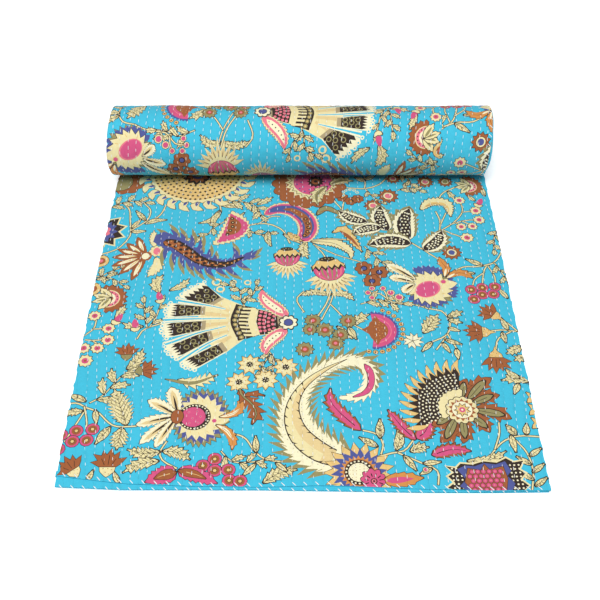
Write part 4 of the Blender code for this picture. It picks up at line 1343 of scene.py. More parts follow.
            pen.blade([(33.3, y - 0.9), (34.2, y), (33.4, y + 1)], 0.9, TAN, rim=0.05)
        pen.vines(0.27, (20.4, 31.4, 22.6, 30.8, 23.6, 28.6, 22.8, 25.8, 20, 24.2))
        pen.vines(0.26, (22.9, 26, 24.1, 22.9), (22.6, 25.2, 20.9, 22.8))
        pen.leaves((24, 23, 24.1, 20.9, 1.1), (19.2, 26.2, 21.9, 30.2, 2.4, 0, 6, 5), (23.4, 29,
            25.6, 28.3, 1.2, 0, 3), (23.4, 29.6, 25.9, 30.8, 1.3, 0, 4, 3), (23.2, 27.2, 25, 26.6,
            1), (20.4, 24.4, 18.6, 22.4, 1.1, 0, 0, 2), (22.4, 24.8, 25, 23.8, 1, 0, 0, 2), (22,
            24.2, 23, 22.2, 0.9))
        pen.vines(0.26, (16.4, 32.6, 18.6, 32.2, 20.4, 31.4))
        pen.sprigs((7, 2, 1, 9.6, 32.4, 12.4, 33.4, 14.4, 32.6, 16.4, 32.4))
        pen.vines(0.27, (28.9, 26.5, 31.6, 26.8, 34.8, 26.4))
        pen.vines(0.26, (31.2, 29.4, 32.8, 28.2, 34, 26.6), (30.1, 22.8, 30.8, 25, 33, 26.5))
        pen.leaves((31.6, 26.4, 31.9, 24.2, 1.1, 0, 0, 2), (32.6, 26.8, 31.8, 29.6, 1.1), (34.4,
            23.6, 31.6, 22, 1.5, 0, 5, 3), (34.6, 21.6, 32.6, 20.6, 1.3, 0, 4))
        pen.vines(0.27, (34.8, 45.6, 33, 42.4, 31, 40.8, 30.2, 38.4, 29.9, 36.6))
        pen.vines(0.28, (25.2, 39.6, 27.4, 40.9, 30, 41, 32.6, 41.8))
        pen.vines(0.24, (31.4, 41, 32.2, 38.6, 32, 36.8), (30.6, 39.6, 28.8, 38, 28.2, 36.2))
        pen.sprigs((4, 1.6, 0.9, 32.6, 41.8, 33.4, 39.8, 34.2, 37.4))
        pen.leaves((30.6, 41.2, 27.8, 42.8, 1.2, 0, 0, 3), (29, 39.4, 26.4, 39.2, 1, 0, 0, 2),
            (33.6, 33.6, 32.4, 36, 1))
        pen.vines(0.26, (24, 54.8, 24.5, 52.4, 24.2, 49.8))
        pen.vines(0.24, (25.8, 54.4, 24.6, 51.6))
        pen.vines(0.28, (24.6, 57.2, 25.8, 59.8, 28.8, 61.8))
        pen.blade((21.4, 55.4, 23.4, 57.4, 26.2, 57, 26.6, 53.4), 1.5, CREAM,
                  15, 0.42, rim=0.08, sharp=1.2)
        pen.blade((21.9, 55.8, 23.8, 57.1, 26, 56.6, 26.4, 54.2), 0.7, TAN)
        pen.band((22.4, 56.2, 24, 57, 25.8, 56.4), 0.12, RUST, end=0.06)
        pen.leaves((26.8, 60.4, 27.8, 58.2, 1.1, 0, 3))
        pen.sprigs((5, 1.5, 0.9, 17.6, 60.6, 19.6, 61.4, 21.6, 60.6), (5, 1.5, 0.9, 18, 65.6, 19.8,
            63.8, 20.4, 61.4))
        pen.leaves((33.4, 59, 33, 62, 1.1, 0, 0, 2), (31.4, 57.6, 30.2, 59.2, 0.9))
        pen.sprigs((5, 1.4, 0.9, 34.4, 50.4, 33.4, 47.6, 33, 45))


@dataclass(frozen=True)
class Window:
    """A part of the cloth that shows, and where the page comes on it.

    The page's origin lies at (page_u, page_v) on the cloth, and the print shows within the
    window's own limits.
    """

    u_low: float
    u_high: float
    v_low: float
    v_high: float
    page_u: float
    page_v: float

    @property
    def corners(self) -> tuple:
        """The window's low and high corners."""
        return (self.u_low, self.v_low), (self.u_high, self.v_high)

    def place(self, outline: Points) -> Points:
        """A page outline, in centimetres, on the cloth, in metres."""
        return outline / 100 + [self.page_u, self.page_v]

    def meets(self, placed: Points) -> bool:
        """Whether an outline's box comes into the window."""
        low, high = self.corners
        return bool(np.all(placed.min(axis=0) < high) and np.all(placed.max(axis=0) > low))


# ---- the cloth's mesh


def inside(outline: Points, spots: Points) -> Points:
    """Which spots lie inside an outline: those whose line to the right crosses it unevenly."""
    x, y = spots[:, 0, None], spots[:, 1, None]
    x0, y0 = outline[None, :, 0], outline[None, :, 1]
    x1, y1 = np.roll(x0, -1, axis=1), np.roll(y0, -1, axis=1)
    spans = (y0 > y) != (y1 > y)
    rise = np.where(y1 == y0, 1.0, y1 - y0)
    crossing = x0 + (y - y0) * (x1 - x0) / rise
    return np.sum(spans & (x < crossing), axis=1) % 2 == 1


def finder(spots: Points) -> Callable:
    """A search among spots for those inside an outline and a box, by their number."""
    order = np.argsort(spots[:, 1])
    sorted_v = spots[order, 1]

    def find(outline: Points, low: Points, high: Points, before: int) -> Points:
        """The numbers, below a limit, of the spots found."""
        first, last = np.searchsorted(sorted_v, [low[1], high[1]])
        near = order[first:last]
        u = spots[near, 0]
        near = near[(u > low[0]) & (u < high[0]) & (near < before)]
        return near[inside(outline, spots[near])]

    return find


class FlatMesh(NamedTuple):
    """A triangulated part of the opened cloth."""

    spots: Points
    triangles: Points


@dataclass
class QuiltCloth:
    """The quilt's whole cloth as one closed mesh, printed, folded and rolled."""

    lay: QuiltLay
    stitching: Stitching
    column_step: int = 31
    front_column_step: int = 2
    row_step: float = 0.0105
    turn_steps: int = 48
    inner_turn_steps: int = 24
    front_depth: float = 0.03
    printed_to: float = 1.125
    seam_x: float = 0.25
    seam_page: float = 0.578
    seam_slip: float = 0.10
    roll_page: float = 0.091
    disc_angle: float = FULL - 0.35 - 0.18 / 0.0628
    disc_y: float = 0.284
    page_front: float = 0.022
    window_gap: float = 0.03
    overlap: float = 0.004
    first_row: float = 0.0085
    plain_column: float = 0.0073
    closest: float = 1.2e-4
    hem_steps: tuple = (0.0, 0.2, 0.55, 1.0, 1.9, 3.6)
    bake_scale: float = 0.868
    bake_rest: float = 0.131
    bake_edge: float = 0.004

    def windows(self) -> list[Window]:
        """Where the page comes: on the stack's top, on the roll, and beyond the roll's seam.

        The roll shows the other layer's outside, whose print runs on from the same repeat. Near
        its right end it is cut at a seam, beyond which the repeat has slipped.
        """
        lay = self.lay
        _, fold, top = lay.stretches()[:3]
        disc = lay.along(self.disc_angle) - self.disc_y
        page_u = top.begin - lay.left_fold
        seam_u = lay.free_hem_low - self.seam_x
        meet, roll_from = fold.begin - self.window_gap, lay.roll_back + self.window_gap
        return [
            Window(meet, top.begin + top.length + self.overlap, 0.0, lay.roll_back + 0.006,
                   page_u, self.page_front),
            Window(seam_u, fold.begin + fold.length + self.overlap, roll_from, self.printed_to,
                   lay.free_hem_low + self.roll_page, disc),
            Window(0.0, seam_u, roll_from, self.printed_to,
                   lay.free_hem_low - self.seam_page, disc - self.seam_slip),
        ]

    def rows(self, fine: bool = False) -> Points:
        """Every v at which a row of points lies: close at the hems, even angles on the roll.

        Fine rows are for what shows: between the hem and the roll they lie three times closer.
        """
        lay = self.lay
        hem = np.array(self.hem_steps) * lay.hem_round
        last = float(lay.angle(np.array([lay.length]))[0])
        count = 1 + int(lay.roll_back / self.row_step) // 3 * 3
        flat = np.linspace(self.first_row, lay.roll_back, count)
        outer = np.arange(1, self.turn_steps + 1) * FULL / self.turn_steps
        inner_step = FULL / self.inner_turn_steps
        inner = np.arange(self.inner_turn_steps + 1, int(last / inner_step)) * inner_step
        rolled = [lay.along(angle) for angle in np.r_[outer, inner]]
        return np.r_[hem, flat if fine else flat[::3], rolled, lay.length - hem[::-1]]

    def fine_columns(self) -> tuple[Points, Points]:
        """The u of two columns to each stitch row, on the underside's run and the top's."""
        lay = self.lay
        _, _, top = lay.stretches()[:3]
        x = np.linspace(lay.left_fold, lay.right_fold, 2 * self.stitching.rows + 1)
        return (lay.free_hem_low - x)[::-1][2:], top.begin + x - lay.left_fold

    def columns(self, step: int) -> Points:
        """The u of the columns that a row has: every so many on the runs, many on the folds."""
        lay = self.lay
        stretches = lay.stretches()
        under, top = self.fine_columns()
        hem = np.array(self.hem_steps) * lay.hem_round
        parts = [hem, under[::step], top[::step], lay.width - hem[::-1]]
        for number, count in ((1, 11), (3, 7), (5, 7)):
            fold = stretches[number]
            parts.append(np.linspace(fold.begin, fold.begin + fold.length, count))
        for number in (4, 6):
            run = stretches[number]
            count = int(run.length / (step * self.plain_column))
            parts.append(np.linspace(run.begin, run.begin + run.length, count)[1:-1])
        every = np.unique(np.round(np.concatenate(parts), 6))
        return every[np.r_[True, np.diff(every) > self.closest]]

    def frame_points(self) -> Points:
        """The cloth's four edges, as points in order round it."""
        across = self.columns(self.front_column_step)
        rows = self.rows()
        width, length = self.lay.width, self.lay.length
        across[-1] = width
        return np.vstack([
            np.c_[across[:-1], np.zeros(len(across) - 1)],
            np.c_[np.full(len(rows) - 1, width), rows[:-1]],
            np.c_[across[:0:-1], np.full(len(across) - 1, length)],
            np.c_[np.zeros(len(rows) - 1), rows[:0:-1]],
        ])

    def thinned(self, rolled: Points) -> Points:
        """Every second row of the outer turn, and all the others."""
        outer = rolled < self.lay.along(FULL)
        return np.r_[rolled[outer][::2], rolled[~outer]]

    def grid(self, side: Side) -> Points:
        """The points inside the edges: close ones where the cloth shows, and few elsewhere."""
        lay = self.lay
        rows = self.rows()[1:-1]
        front_rows = rows[rows < self.front_depth]
        rolled = rows[rows > lay.roll_back]
        level = rows[(rows >= self.front_depth) & (rows <= lay.roll_back)]
        if side is Side.BACK:
            level, rolled = level[::2], self.thinned(rolled)
        patches = [(self.columns(self.front_column_step)[1:-1], front_rows),
                   (self.columns(self.column_step)[1:-1], np.r_[level, rolled])]
        if side is Side.PRINTED:
            under, top = self.fine_columns()
            rows = self.rows(fine=True)[1:-1]
            patches.append((top, rows[rows < lay.roll_back]))
            patches.append((under[1:], rows[(rows > lay.roll_back) & (rows < self.printed_to)]))
        parts = [np.stack(np.meshgrid(*patch), axis=-1).reshape(-1, 2) for patch in patches]
        return np.unique(np.round(np.vstack(parts), 6), axis=0)

    def lines(self, side: Side) -> list[Points]:
        """Lines of points that a face's triangles keep to.

        Along some the OFBake map's islands part. The others are the hidden rows on the roll,
        so that no triangle there cuts across a turn.
        """
        stack, roll, _ = self.windows()
        rows, columns = self.rows(), self.columns(self.column_step)
        rolled, last = rows[rows > self.lay.roll_back][:-1], self.lay.width

        def line(level: float, low: float, high: float, upward: bool = True) -> Points:
            """A line along the cloth's length or across it, with a point at each row or column."""
            stops = rows if upward else columns
            run = np.r_[low, stops[(stops > low + 1e-4) & (stops < high - 1e-4)], high]
            still = np.full(len(run), level)
            return np.c_[still, run] if upward else np.c_[run, still]

        if side is Side.BACK:
            return [line(v, 0.0, last, False) for v in self.thinned(rolled)]
        low = self.overlap
        found = [line(stack.u_low, low, stack.v_high), line(stack.u_high, low, stack.v_high),
                 line(stack.v_high, low, stack.u_high, False),
                 line(roll.v_high, low, roll.u_high, False),
                 line(roll.u_high, roll.v_low, roll.v_high),
                 line(roll.u_low, roll.v_low, roll.v_high)]
        return found + [line(v, roll.u_high if v < roll.v_high else 0.0, last, False)
                        for v in rolled]

    def shown_edges(self, placed: Sequence[tuple]) -> tuple[Points, Points]:
        """The outlines' points and edges, without what lies under later patches or outside.

        An edge is left out where both its ends lie in one later patch, or outside the window.
        """
        sizes = np.array([len(outline) for _, outline, _ in placed])
        starts = np.r_[0, np.cumsum(sizes)]
        spots = np.vstack([outline for _, outline, _ in placed])
        onward = np.arange(len(spots)) + 1
        onward[starts[1:] - 1] = starts[:-1]
        hidden = np.zeros(len(spots), bool)
        find = finder(spots)
        for number, (window, outline, _) in enumerate(placed):
            covered = np.zeros(len(spots), bool)
            low, high = outline.min(axis=0), outline.max(axis=0)
            covered[find(outline, low, high, starts[number])] = True
            own = slice(starts[number], starts[number + 1])
            low, high = window.corners
            covered[own] = np.any((outline < low) | (outline > high), axis=1)
            hidden |= covered & covered[onward]
        edges = np.c_[np.arange(len(spots)), onward][~hidden]
        used, edges = np.unique(edges, return_inverse=True)
        return spots[used], edges.reshape(-1, 2)

    def triangulate(self, grid: Points, spots: Points, edges: Points, lines: Sequence) -> FlatMesh:
        """A constrained Delaunay mesh of the opened cloth that keeps the given edges."""
        edge = self.frame_points()
        ring = np.arange(len(edge))
        at = len(edge) + len(grid)
        pairs = [np.c_[ring, np.roll(ring, -1)], edges + at]
        at += len(spots)
        for line in lines:
            step = np.arange(at, at + len(line) - 1)
            pairs.append(np.c_[step, step + 1])
            at += len(line)
        points = [edge, grid, spots, *lines]
        pairs = np.vstack(pairs).astype(int)
        flat = [Vector(point) for point in np.round(np.vstack(points), 6).tolist()]
        found = delaunay_2d_cdt(flat, pairs.tolist(), [], 0, 1e-6, False)
        return FlatMesh(np.array([spot[:] for spot in found[0]]), np.array(found[2]))

    def placed(self, page: Sequence[Patch]) -> list[tuple]:
        """Each patch where each window puts it, kept off the hems, with the window."""
        margin = 0.0004
        high = np.array([self.lay.width, self.lay.length]) - margin
        found = []
        for window in self.windows():
            for patch in page:
                outline = window.place(patch.outline)
                if window.v_low == 0.0:
                    outline = self.cut_by_hem(outline)
                if window.meets(outline):
                    found.append((window, np.clip(outline, margin, high), patch.ink))
        return found

    def cut_by_hem(self, outline: Points) -> Points:
        """The top's print lies square to the stack, and the hem, set back unevenly, cuts it.

        A point at a distance y from the front line comes at v = (y - s) / (1 - s / r), where s
        is the top layer's setback there and r is the distance to the roll.
        """
        top = self.lay.stretches()[2]
        x = self.lay.left_fold + outline[:, 0] - top.begin
        setback = self.lay.front(x, "top")
        v = (outline[:, 1] - setback) / (1 - setback / self.lay.roll_back)
        return np.c_[outline[:, 0], v]

    def paint(self, flat: FlatMesh, placed: Sequence[tuple]) -> Points:
        """Each triangle's colour: the ink of the last patch that its middle lies in."""
        inks = np.tile(Ink.GROUND.linear(), (len(flat.triangles), 1))
        middles = flat.spots[flat.triangles].mean(axis=1)
        find = finder(middles)
        for window, outline, ink in placed:
            low = np.maximum(outline.min(axis=0), window.corners[0])
            high = np.minimum(outline.max(axis=0), window.corners[1])
            inks[find(outline, low, high, len(middles))] = ink.linear()
        return inks

    def surface(self, spots: Points, side: Side) -> Points:
        """The places of points of one face."""
        u, v = spots.T
        return self.lay.lay(u, v, self.stitching.off(u, v, side))

    def normals(self, spots: Points, side: Side) -> Points:
        """The outward directions of one face, from its slopes along u and along v."""
        step = 2e-5
        high = np.array([self.lay.width, self.lay.length])
        along = []
        for way in np.eye(2) * step:
            ahead = self.surface(np.clip(spots + way, 0, high), side)
            behind = self.surface(np.clip(spots - way, 0, high), side)
            along.append(ahead - behind)
        return unit(np.cross(along[0], along[1])) * side.value

    def bake_map(self, flat: FlatMesh, side: Side) -> Points:
        """Where each corner comes on the OFBake map: the parts that show take most of it."""
        stack, roll, _ = self.windows()
        corners = flat.spots[flat.triangles]
        middles = corners.mean(axis=1)
        scale, rest, margin = self.bake_scale, self.bake_rest, self.bake_edge
        side_column = 3 * margin + scale * (stack.u_high - stack.u_low)
        lift = margin if side is Side.PRINTED else 2.5 * margin + rest * self.lay.length
        uv = corners * rest + [side_column, lift]
        if side is Side.BACK:
            return uv
        on_stack = ((middles[:, 0] > stack.u_low) & (middles[:, 0] < stack.u_high)
                    & (middles[:, 1] < stack.v_high))
        on_roll = ((middles[:, 0] < roll.u_high) & (middles[:, 1] > roll.v_low)
                   & (middles[:, 1] < roll.v_high))
        uv[on_stack] = (corners[on_stack] - [stack.u_low, 0]) * scale + margin
        above = 3 * margin + scale * stack.v_high
        uv[on_roll] = (corners[on_roll] - [0, roll.v_low]) * scale + [margin, above]
        return uv

    def build(self, page: Sequence[Patch]) -> bpy.types.Object:
        """Make the cloth: both faces laid out flat, joined along the four edges."""
        placed = self.placed(page)
        log.info("print: %d patches on the cloth", len(placed))
        spots, edges = self.shown_edges(placed)
        log.info("print: %d points shown", len(spots))
        none = np.zeros((0, 2))
        front = self.triangulate(self.grid(Side.PRINTED), spots, edges, self.lines(Side.PRINTED))
        back = self.triangulate(self.grid(Side.BACK), none, none, self.lines(Side.BACK))
        log.info("faces: %d and %d", len(front.triangles), len(back.triangles))
        edge = self.frame_points()
        at_front, at_back = (
            np.array([np.argmin(np.sum((flat.spots - spot) ** 2, axis=1)) for spot in edge])
            for flat in (front, back)
        )
        index = np.full(len(back.spots), -1)
        index[at_back] = at_front
        free = np.flatnonzero(index < 0)
        index[free] = len(front.spots) + np.arange(len(free))
        places = np.vstack([self.surface(front.spots, Side.PRINTED),
                            self.surface(back.spots[free], Side.BACK)])
        front_normals = self.normals(front.spots, Side.PRINTED)
        back_normals = self.normals(back.spots, Side.BACK)
        front_normals[at_front] = unit(front_normals[at_front] + back_normals[at_back])
        normals = np.vstack([front_normals, back_normals[free]])
        faces = np.vstack([front.triangles, index[back.triangles][:, ::-1]])
        inks = np.vstack([self.paint(front, placed),
                          np.tile(Ink.GROUND.linear(), (len(back.triangles), 1))])
        cloth_map = np.vstack([front.spots[front.triangles], back.spots[back.triangles][:, ::-1]])
        bake_map = np.vstack([self.bake_map(front, Side.PRINTED),
                              self.bake_map(back, Side.BACK)[:, ::-1]])
        quilt = make_mesh("quilt_cloth", places, faces)
        mesh = quilt.data
        mesh.shade_smooth()
        colour = mesh.color_attributes.new("print", "FLOAT_COLOR", "CORNER")
        corner_inks = np.repeat(np.c_[inks, np.ones(len(inks))], 3, axis=0)
        colour.data.foreach_set("color", corner_inks.astype(np.float32).ravel())
        row_map = self.stitching.row_map(*cloth_map.reshape(-1, 2).T)
        veined = np.all(np.isclose(inks, Ink.LEAF.linear()), axis=1)
        flag = mesh.attributes.new("veined", "FLOAT", "FACE")
        flag.data.foreach_set("value", veined.astype(np.float32))
        for name, values in (("cloth", cloth_map), ("rows", row_map), ("OFBake", bake_map)):
            layer = mesh.uv_layers.new(name=name)
            layer.data.foreach_set("uv", values.astype(np.float32).ravel())
        mesh.normals_split_custom_set_from_vertices(normals.tolist())
        return quilt


def make_mesh(name: str, places: Points, faces: Points) -> bpy.types.Object:
    """An object of that name from arrays of places and of faces with equal corner counts."""
    mesh = bpy.data.meshes.new(name)
    mesh.from_pydata(places.tolist(), [], faces.tolist())
    item = bpy.data.objects.new(name, mesh)
    bpy.context.scene.collection.objects.link(item)
    return item


# ---- the sewing


@dataclass
class SewingThread:
    """White thread: the running stitches, and the slanting whipstitches over the hems."""

    lay: QuiltLay
    stitching: Stitching
    width: float = 0.00105
    height: float = 0.00042
    whip_pitch: float = 0.016
    whip_reach: float = 0.0066
    whip_slant: float = 0.0060
    whip_width: float = 0.0015
    stations: Points = field(default_factory=lambda: np.array([0.0, 0.14, 0.5, 0.86, 1.0]))
    hem_edge: float = 0.0001
    jitter: float = 0.0012
    shown_to: float = 1.12

    def spines(self, ends: Points) -> tuple[Points, Points]:
        """Five places along each stitch, on the printed face, and the face's directions there.

        Args:
            ends: An array of stitches, two ends, and u and v.

        Returns:
            Two arrays of stitches, five stations, and x, y and z.
        """
        share = self.stations[None, :, None]
        flat = (ends[:, None, 0] + (ends[:, 1] - ends[:, 0])[:, None] * share).reshape(-1, 2)
        u, v = flat.T
        base = self.stitching.off(u, v, Side.PRINTED)
        middle = self.lay.lay(u, v, base).reshape(-1, 5, 3)
        lifted = self.lay.lay(u, v, base + 0.001).reshape(-1, 5, 3)
        return middle, unit(lifted - middle)

    def capsules(self, middle: Points, up: Points, width: float) -> tuple[Points, Points]:
        """Stitches as slim closed capsules along their spines.

        A stitch's section is a flat four-sided ring, a little smaller near its ends, and it
        rises out of the cloth and sinks back into it.
        """
        way = unit(np.gradient(middle, axis=1))
        aside = unit(np.cross(up, way))
        rise = np.array([-0.5, 0.35, 0.6, 0.35, -0.5])[None, :, None] * self.height
        spine = middle + up * rise
        rings = []
        for k, size in ((1, 0.86), (2, 1.0), (3, 0.86)):
            wide = aside[:, k] * width / 2 * size
            tall = up[:, k] * self.height * size
            rings.append(np.stack([spine[:, k] + wide, spine[:, k] + tall,
                                   spine[:, k] - wide, spine[:, k] - tall], axis=1))
        places = np.concatenate([spine[:, :1], *rings, spine[:, 4:]], axis=1)
        faces = []
        for k in range(4):
            near = (k + 1) % 4
            faces.append((0, 1 + near, 1 + k))
            for ring in (1, 5):
                faces.append((ring + k, ring + near, ring + 4 + near))
                faces.append((ring + k, ring + 4 + near, ring + 4 + k))
            faces.append((13, 9 + k, 9 + near))
        every = np.array(faces)[None] + 14 * np.arange(len(middle))[:, None, None]
        return places.reshape(-1, 3), every.reshape(-1, 3)

    def running(self) -> Points:
        """The running stitches' ends, on the stack's top and on the outer turn of the roll."""
        lay, sewing = self.lay, self.stitching
        _, _, top = lay.stretches()[:3]
        rows = np.arange(sewing.rows)
        spans = []
        for on_top, first, last in ((True, 0.009, lay.roll_back - 0.004),
                                    (False, lay.roll_back + 0.004, self.shown_to)):
            number = np.arange(int(first / sewing.pitch), int(last / sewing.pitch) + 1)
            row, place = (part.ravel().astype(float) for part in np.meshgrid(rows, number))
            wobble = np.sin(12.9898 * row + 78.233 * place) * 43758.5453
            wobble = wobble - np.floor(wobble)
            middle = (place - sewing.phase(row)) * sewing.pitch + self.jitter * (wobble - 0.5)
            reach = sewing.stitch / 2 * (0.86 + 0.28 * np.mod(7.3 * wobble, 1.0))
            keep = (middle - reach > first) & (middle + reach < last)
            row, middle, reach = row[keep], middle[keep], reach[keep]
            ends = []
            for v in (middle - reach, middle + reach):
                x = sewing.row_x(row, v)
                u = top.begin + x - lay.left_fold if on_top else lay.free_hem_low - x
                ends.append(np.stack([u, v], axis=-1))
            spans.append(np.stack(ends, axis=1))
        return np.concatenate(spans)

    def whip(self) -> list[tuple]:
        """The whipstitches' spines and directions, on the top hem and along the free side hem."""
        lay = self.lay
        top = lay.stretches()[2]
        u = np.arange(top.begin + 0.006, top.begin + top.length - 0.006, self.whip_pitch)
        u = u + self.jitter * np.sin(7.1 * np.arange(len(u)))
        near = np.stack([u, np.full(len(u), self.whip_reach)], axis=-1)
        far = np.stack([u + self.whip_slant, np.full(len(u), self.hem_edge)], axis=-1)
        v = np.arange(0.02, self.shown_to, self.whip_pitch)
        side = np.stack([np.full(len(v), self.whip_reach), v], axis=-1)
        edge = np.stack([np.full(len(v), self.hem_edge), v + self.whip_slant], axis=-1)
        return [self.spines(np.stack(ends, axis=1)) for ends in ((near, far), (side, edge))]

    def wraps(self) -> tuple[Points, Points]:
        """The stitches that pass over the front edge of the three lower layers, and down it."""
        lay = self.lay
        x = np.arange(-lay.half + 0.008, lay.half - 0.012, self.whip_pitch)
        x = x[:, None] + 0.8 * self.whip_slant * self.stations[None]
        depth = np.array([0.0036, 0.0022, 0.0007, -0.0003, -0.0004])[None]
        height = lay.level(2) + np.array([0.5, 0.5, 0.42, -0.6, -1.5])[None] * lay.cloth
        forward = np.array([0.0, 0.1, 0.7, 1.0, 1.0])[None]
        shift_x, shift_y = lay.shift()
        place = [x + shift_x, lay.front(x, "whole") + depth + shift_y, height + 0 * x]
        up = [0 * x, -forward + 0 * x, np.sqrt(1 - forward**2) + 0 * x]
        return np.stack(place, axis=-1), unit(np.stack(up, axis=-1))

    def build(self) -> bpy.types.Object:
        """Make all the stitches as one piece."""
        groups = [(*self.spines(self.running()), self.width)]
        groups += [(*spine, self.whip_width) for spine in (*self.whip(), self.wraps())]
        places, faces, at = [], [], 0
        for middle, up, width in groups:
            spots, triangles = self.capsules(middle, up, width)
            places.append(spots)
            faces.append(triangles + at)
            at += len(spots)
        stitches = make_mesh("stitches", np.vstack(places), np.vstack(faces))
        stitches.data.shade_smooth()
        log.info("stitches: %d", sum(len(group[0]) for group in groups))
        return stitches


# ---- finishes


def set_inputs(node: bpy.types.Node, **values: object) -> None:
    """Give plain values to a node's inputs. An underscore stands for a space."""
    for name, value in values.items():
        node.inputs[name.replace("_", " ")].default_value = value


@dataclass(frozen=True)
class Wire:
    """A node's output, or a plain number, with arithmetic that makes Math nodes."""

    tree: bpy.types.NodeTree
    socket: object

    def node(self, kind: str, inputs: Optional[dict] = None, output: object = 0,
             **settings: object) -> "Wire":
        """Add any node, set its properties and inputs, and take one of its outputs."""
        made = self.tree.nodes.new(kind)
        for name, value in settings.items():
            setattr(made, name, value)
        for name, value in (inputs or {}).items():
            if isinstance(value, Wire):
                self.tree.links.new(value.socket, made.inputs[name])
            else:
                made.inputs[name].default_value = value
        return Wire(self.tree, made.outputs[output])

    def math(self, operation: str, *others: object) -> "Wire":
        """A Math node on this wire and others."""
        return self.node("ShaderNodeMath", dict(enumerate((self, *others))), operation=operation)

    def __add__(self, other: object) -> "Wire":
        """The sum."""
        return self.math("ADD", other)

    def __sub__(self, other: object) -> "Wire":
        """The difference."""
        return self.math("SUBTRACT", other)

    def __mul__(self, other: object) -> "Wire":
        """The product."""
        return self.math("MULTIPLY", other)

    __radd__ = __add__
    __rmul__ = __mul__

    def __rsub__(self, other: float) -> "Wire":
        """A plain number less this wire."""
        return (self * -1.0) + other

    def scaled(self, other: "Wire") -> "Wire":
        """This colour times a number."""
        return self.node("ShaderNodeVectorMath", {0: self, "Scale": other}, operation="SCALE")

    def noise(self, scale: float, detail: float = 2.0, roughness: float = 0.5) -> "Wire":
        """A noise between 0 and 1 at this place."""
        return self.node("ShaderNodeTexNoise",
                         {"Vector": self, "Scale": scale, "Detail": detail,
                          "Roughness": roughness}, output="Fac")

    def stretched(self, x: float, y: float) -> "Wire":
        """This place with its first two parts multiplied."""
        return self.node("ShaderNodeVectorMath", {0: self, 1: (x, y, 1.0)}, operation="MULTIPLY")


@dataclass(frozen=True)
class Finish:
    """What the finishes share: a Principled shader with its plain sockets set."""

    roughness: float = 0.9
    sheen: float = 0.0
    specular: float = 0.3

    def start(self, name: str) -> tuple[bpy.types.Material, Wire, bpy.types.Node]:
        """A new material, a wire to begin with, and its shader."""
        material = bpy.data.materials.new(name)
        material.use_nodes = True
        tree = material.node_tree
        shader = tree.nodes["Principled BSDF"]
        set_inputs(shader, Roughness=self.roughness, Sheen_Weight=self.sheen,
                   Specular_IOR_Level=self.specular)
        return material, Wire(tree, None), shader


@dataclass(frozen=True)
class PrintedCotton(Finish):
    """Printed plain-weave cotton: flat inks with uneven dye, slubs, and a fine weave."""

    roughness: float = 0.88
    sheen: float = 0.12
    dye_depth: float = 0.10
    slub_depth: float = 0.10
    bump: float = 1.0
    vein_scale: float = 100.0
    vein_depth: float = 0.72

    def make(self) -> bpy.types.Material:
        """Build the material.

        The ink comes from the mesh, and is multiplied by one plus a slow noise for the dye and
        two long fine ones, along each set of threads, for the slubs.
        """
        material, wire, shader = self.start("printed_cotton_cloth")
        ink = wire.node("ShaderNodeAttribute", output="Color", attribute_name="print")
        place = wire.node("ShaderNodeUVMap", output="UV", uv_map="cloth")
        dye = place.noise(9.0, 3.0) - 0.5
        slubs = place.stretched(900.0, 70.0).noise(1.0, 2.0) - 0.5
        cross = place.stretched(70.0, 900.0).noise(1.0, 2.0) - 0.5
        tone = dye * self.dye_depth + (slubs + cross) * self.slub_depth + 1.0
        veined = wire.node("ShaderNodeAttribute", output="Fac", attribute_name="veined")
        veins = wire.node("ShaderNodeTexWave", {"Vector": place, "Scale": self.vein_scale,
                                                "Distortion": 9.0, "Detail": 1.5,
                                                "Detail Scale": 1.4},
                          output="Fac", bands_direction="DIAGONAL").math("POWER", 7.0)
        colour = ink.scaled(tone * (veins * veined * -self.vein_depth + 1.0))
        material.node_tree.links.new(colour.socket, shader.inputs["Base Color"])
        crumple = place.stretched(130.0, 210.0).noise(1.0, 3.0, 0.6)
        rows = wire.node("ShaderNodeUVMap", output="UV", uv_map="rows")
        row = wire.node("ShaderNodeSeparateXYZ", {"Vector": rows}, output="X")
        puff = (row * math.pi).math("SINE").math("ABSOLUTE").math("POWER", 0.6)
        pucker = rows.stretched(3.2, 1.6).noise(1.0, 2.0, 0.6) * (1.6 - puff)
        height = (puff * 1.5 + pucker * 1.1 + crumple * 1.0 + (slubs + cross) * 0.3)
        relief = wire.node("ShaderNodeBump", {"Strength": self.bump, "Distance": 0.001,
                                              "Height": height}, output="Normal")
        material.node_tree.links.new(relief.socket, shader.inputs["Normal"])
        return material


@dataclass(frozen=True)
class CottonThread(Finish):
    """Soft white sewing cotton, a little uneven."""

    roughness: float = 0.8
    sheen: float = 0.1

    def make(self) -> bpy.types.Material:
        """Build the material: white with a faint mottle and a fine twist in its relief."""
        material, wire, shader = self.start("sewing_cotton")
        place = wire.node("ShaderNodeTexCoord", output="Object")
        mottle = place.noise(260.0, 2.0)
        colour = wire.node("ShaderNodeMix", {0: mottle, 6: (0.78, 0.82, 0.84, 1.0),
                                             7: (0.95, 0.95, 0.92, 1.0)}, output=2,
                           data_type="RGBA")
        material.node_tree.links.new(colour.socket, shader.inputs["Base Color"])
        twist = place.noise(1800.0, 1.0)
        relief = wire.node("ShaderNodeBump", {"Strength": 0.4, "Distance": 0.0002,
                                              "Height": twist}, output="Normal")
        material.node_tree.links.new(relief.socket, shader.inputs["Normal"])
        return material


# ---- the studio


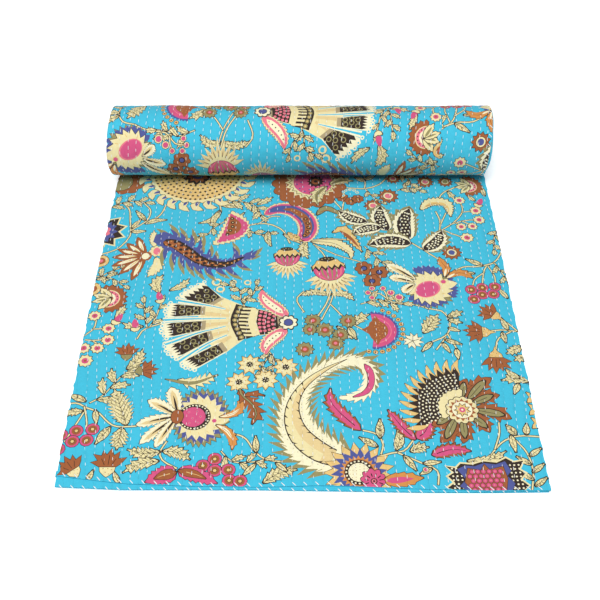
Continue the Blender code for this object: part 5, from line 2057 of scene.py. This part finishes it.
@dataclass(frozen=True)
class Studio:
    """A pale floor, soft light from above and the front, and the photograph's camera."""

    lay: QuiltLay
    camera_height: float = 1.0913
    camera_front: float = 0.6387
    camera_tilt: float = math.atan2(900.0, 982.0)
    lens: float = 54.0
    shift_x: float = -0.00267
    world: float = 0.24
    key: float = 99.0

    def camera(self) -> None:
        """Look down at the quilt from in front of it."""
        data = bpy.data.cameras.new("camera")
        data.lens = self.lens
        data.sensor_width = 36.0
        data.shift_x = self.shift_x
        data.clip_start = 0.05
        camera = bpy.data.objects.new("camera", data)
        shift_x, shift_y = self.lay.shift()
        camera.location = (shift_x, shift_y - self.camera_front, self.camera_height)
        camera.rotation_euler = (self.camera_tilt, 0.0, 0.0)
        bpy.context.scene.collection.objects.link(camera)
        bpy.context.scene.camera = camera

    def lamp(self, name: str, place: tuple, size: float, energy: float) -> None:
        """A square soft light aimed at the quilt's middle."""
        data = bpy.data.lights.new(name, "AREA")
        data.size = size
        data.energy = energy
        light = bpy.data.objects.new(name, data)
        light.location = place
        aim = Vector((0.0, 0.1, 0.0)) - Vector(place)
        light.rotation_euler = aim.to_track_quat("-Z", "Y").to_euler()
        bpy.context.scene.collection.objects.link(light)

    def floor(self) -> None:
        """A wide plain floor just under the quilt."""
        reach, level = 6.0, -0.0002
        corners = [(-reach, -reach, level), (reach, -reach, level), (reach, reach, level),
                   (-reach, reach, level)]
        floor = make_mesh("floor", np.array(corners), np.array([[0, 1, 2, 3]]))
        material = bpy.data.materials.new("pale_floor")
        material.use_nodes = True
        white = (1.0, 1.0, 1.0, 1.0)
        set_inputs(material.node_tree.nodes["Principled BSDF"], Base_Color=(0.96, 0.96, 0.96, 1.0),
                   Roughness=1.0, Specular_IOR_Level=0.0, Emission_Color=white,
                   Emission_Strength=0.3)
        floor.data.materials.append(material)

    def build(self) -> None:
        """Set up the whole studio."""
        world = bpy.data.worlds.new("studio")
        world.use_nodes = True
        set_inputs(world.node_tree.nodes["Background"], Color=(1.0, 1.0, 1.0, 1.0),
                   Strength=self.world)
        bpy.context.scene.world = world
        bpy.context.scene.view_settings.view_transform = "Standard"
        self.floor()
        self.lamp("key", (-0.2, -0.9, 2.9), 1.7, self.key)
        self.camera()


def main() -> None:
    """Build the quilt's cloth and its sewing, and set them in the studio."""
    logging.basicConfig(level=logging.INFO, format="%(name)s: %(message)s")
    lay = QuiltLay()
    stitching = Stitching(lay)
    quilt = QuiltCloth(lay, stitching).build(FloralPage().draw())
    quilt.data.materials.append(PrintedCotton().make())
    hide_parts("quilt")
    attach(quilt, "root")
    stitches = SewingThread(lay, stitching).build()
    stitches.data.materials.append(CottonThread().make())
    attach(stitches, "root")
    for piece in (quilt, stitches):
        log.info("%s: %d triangles", piece.name, len(piece.data.polygons))
    Studio(lay).build()


if __name__ == "__main__":
    main()
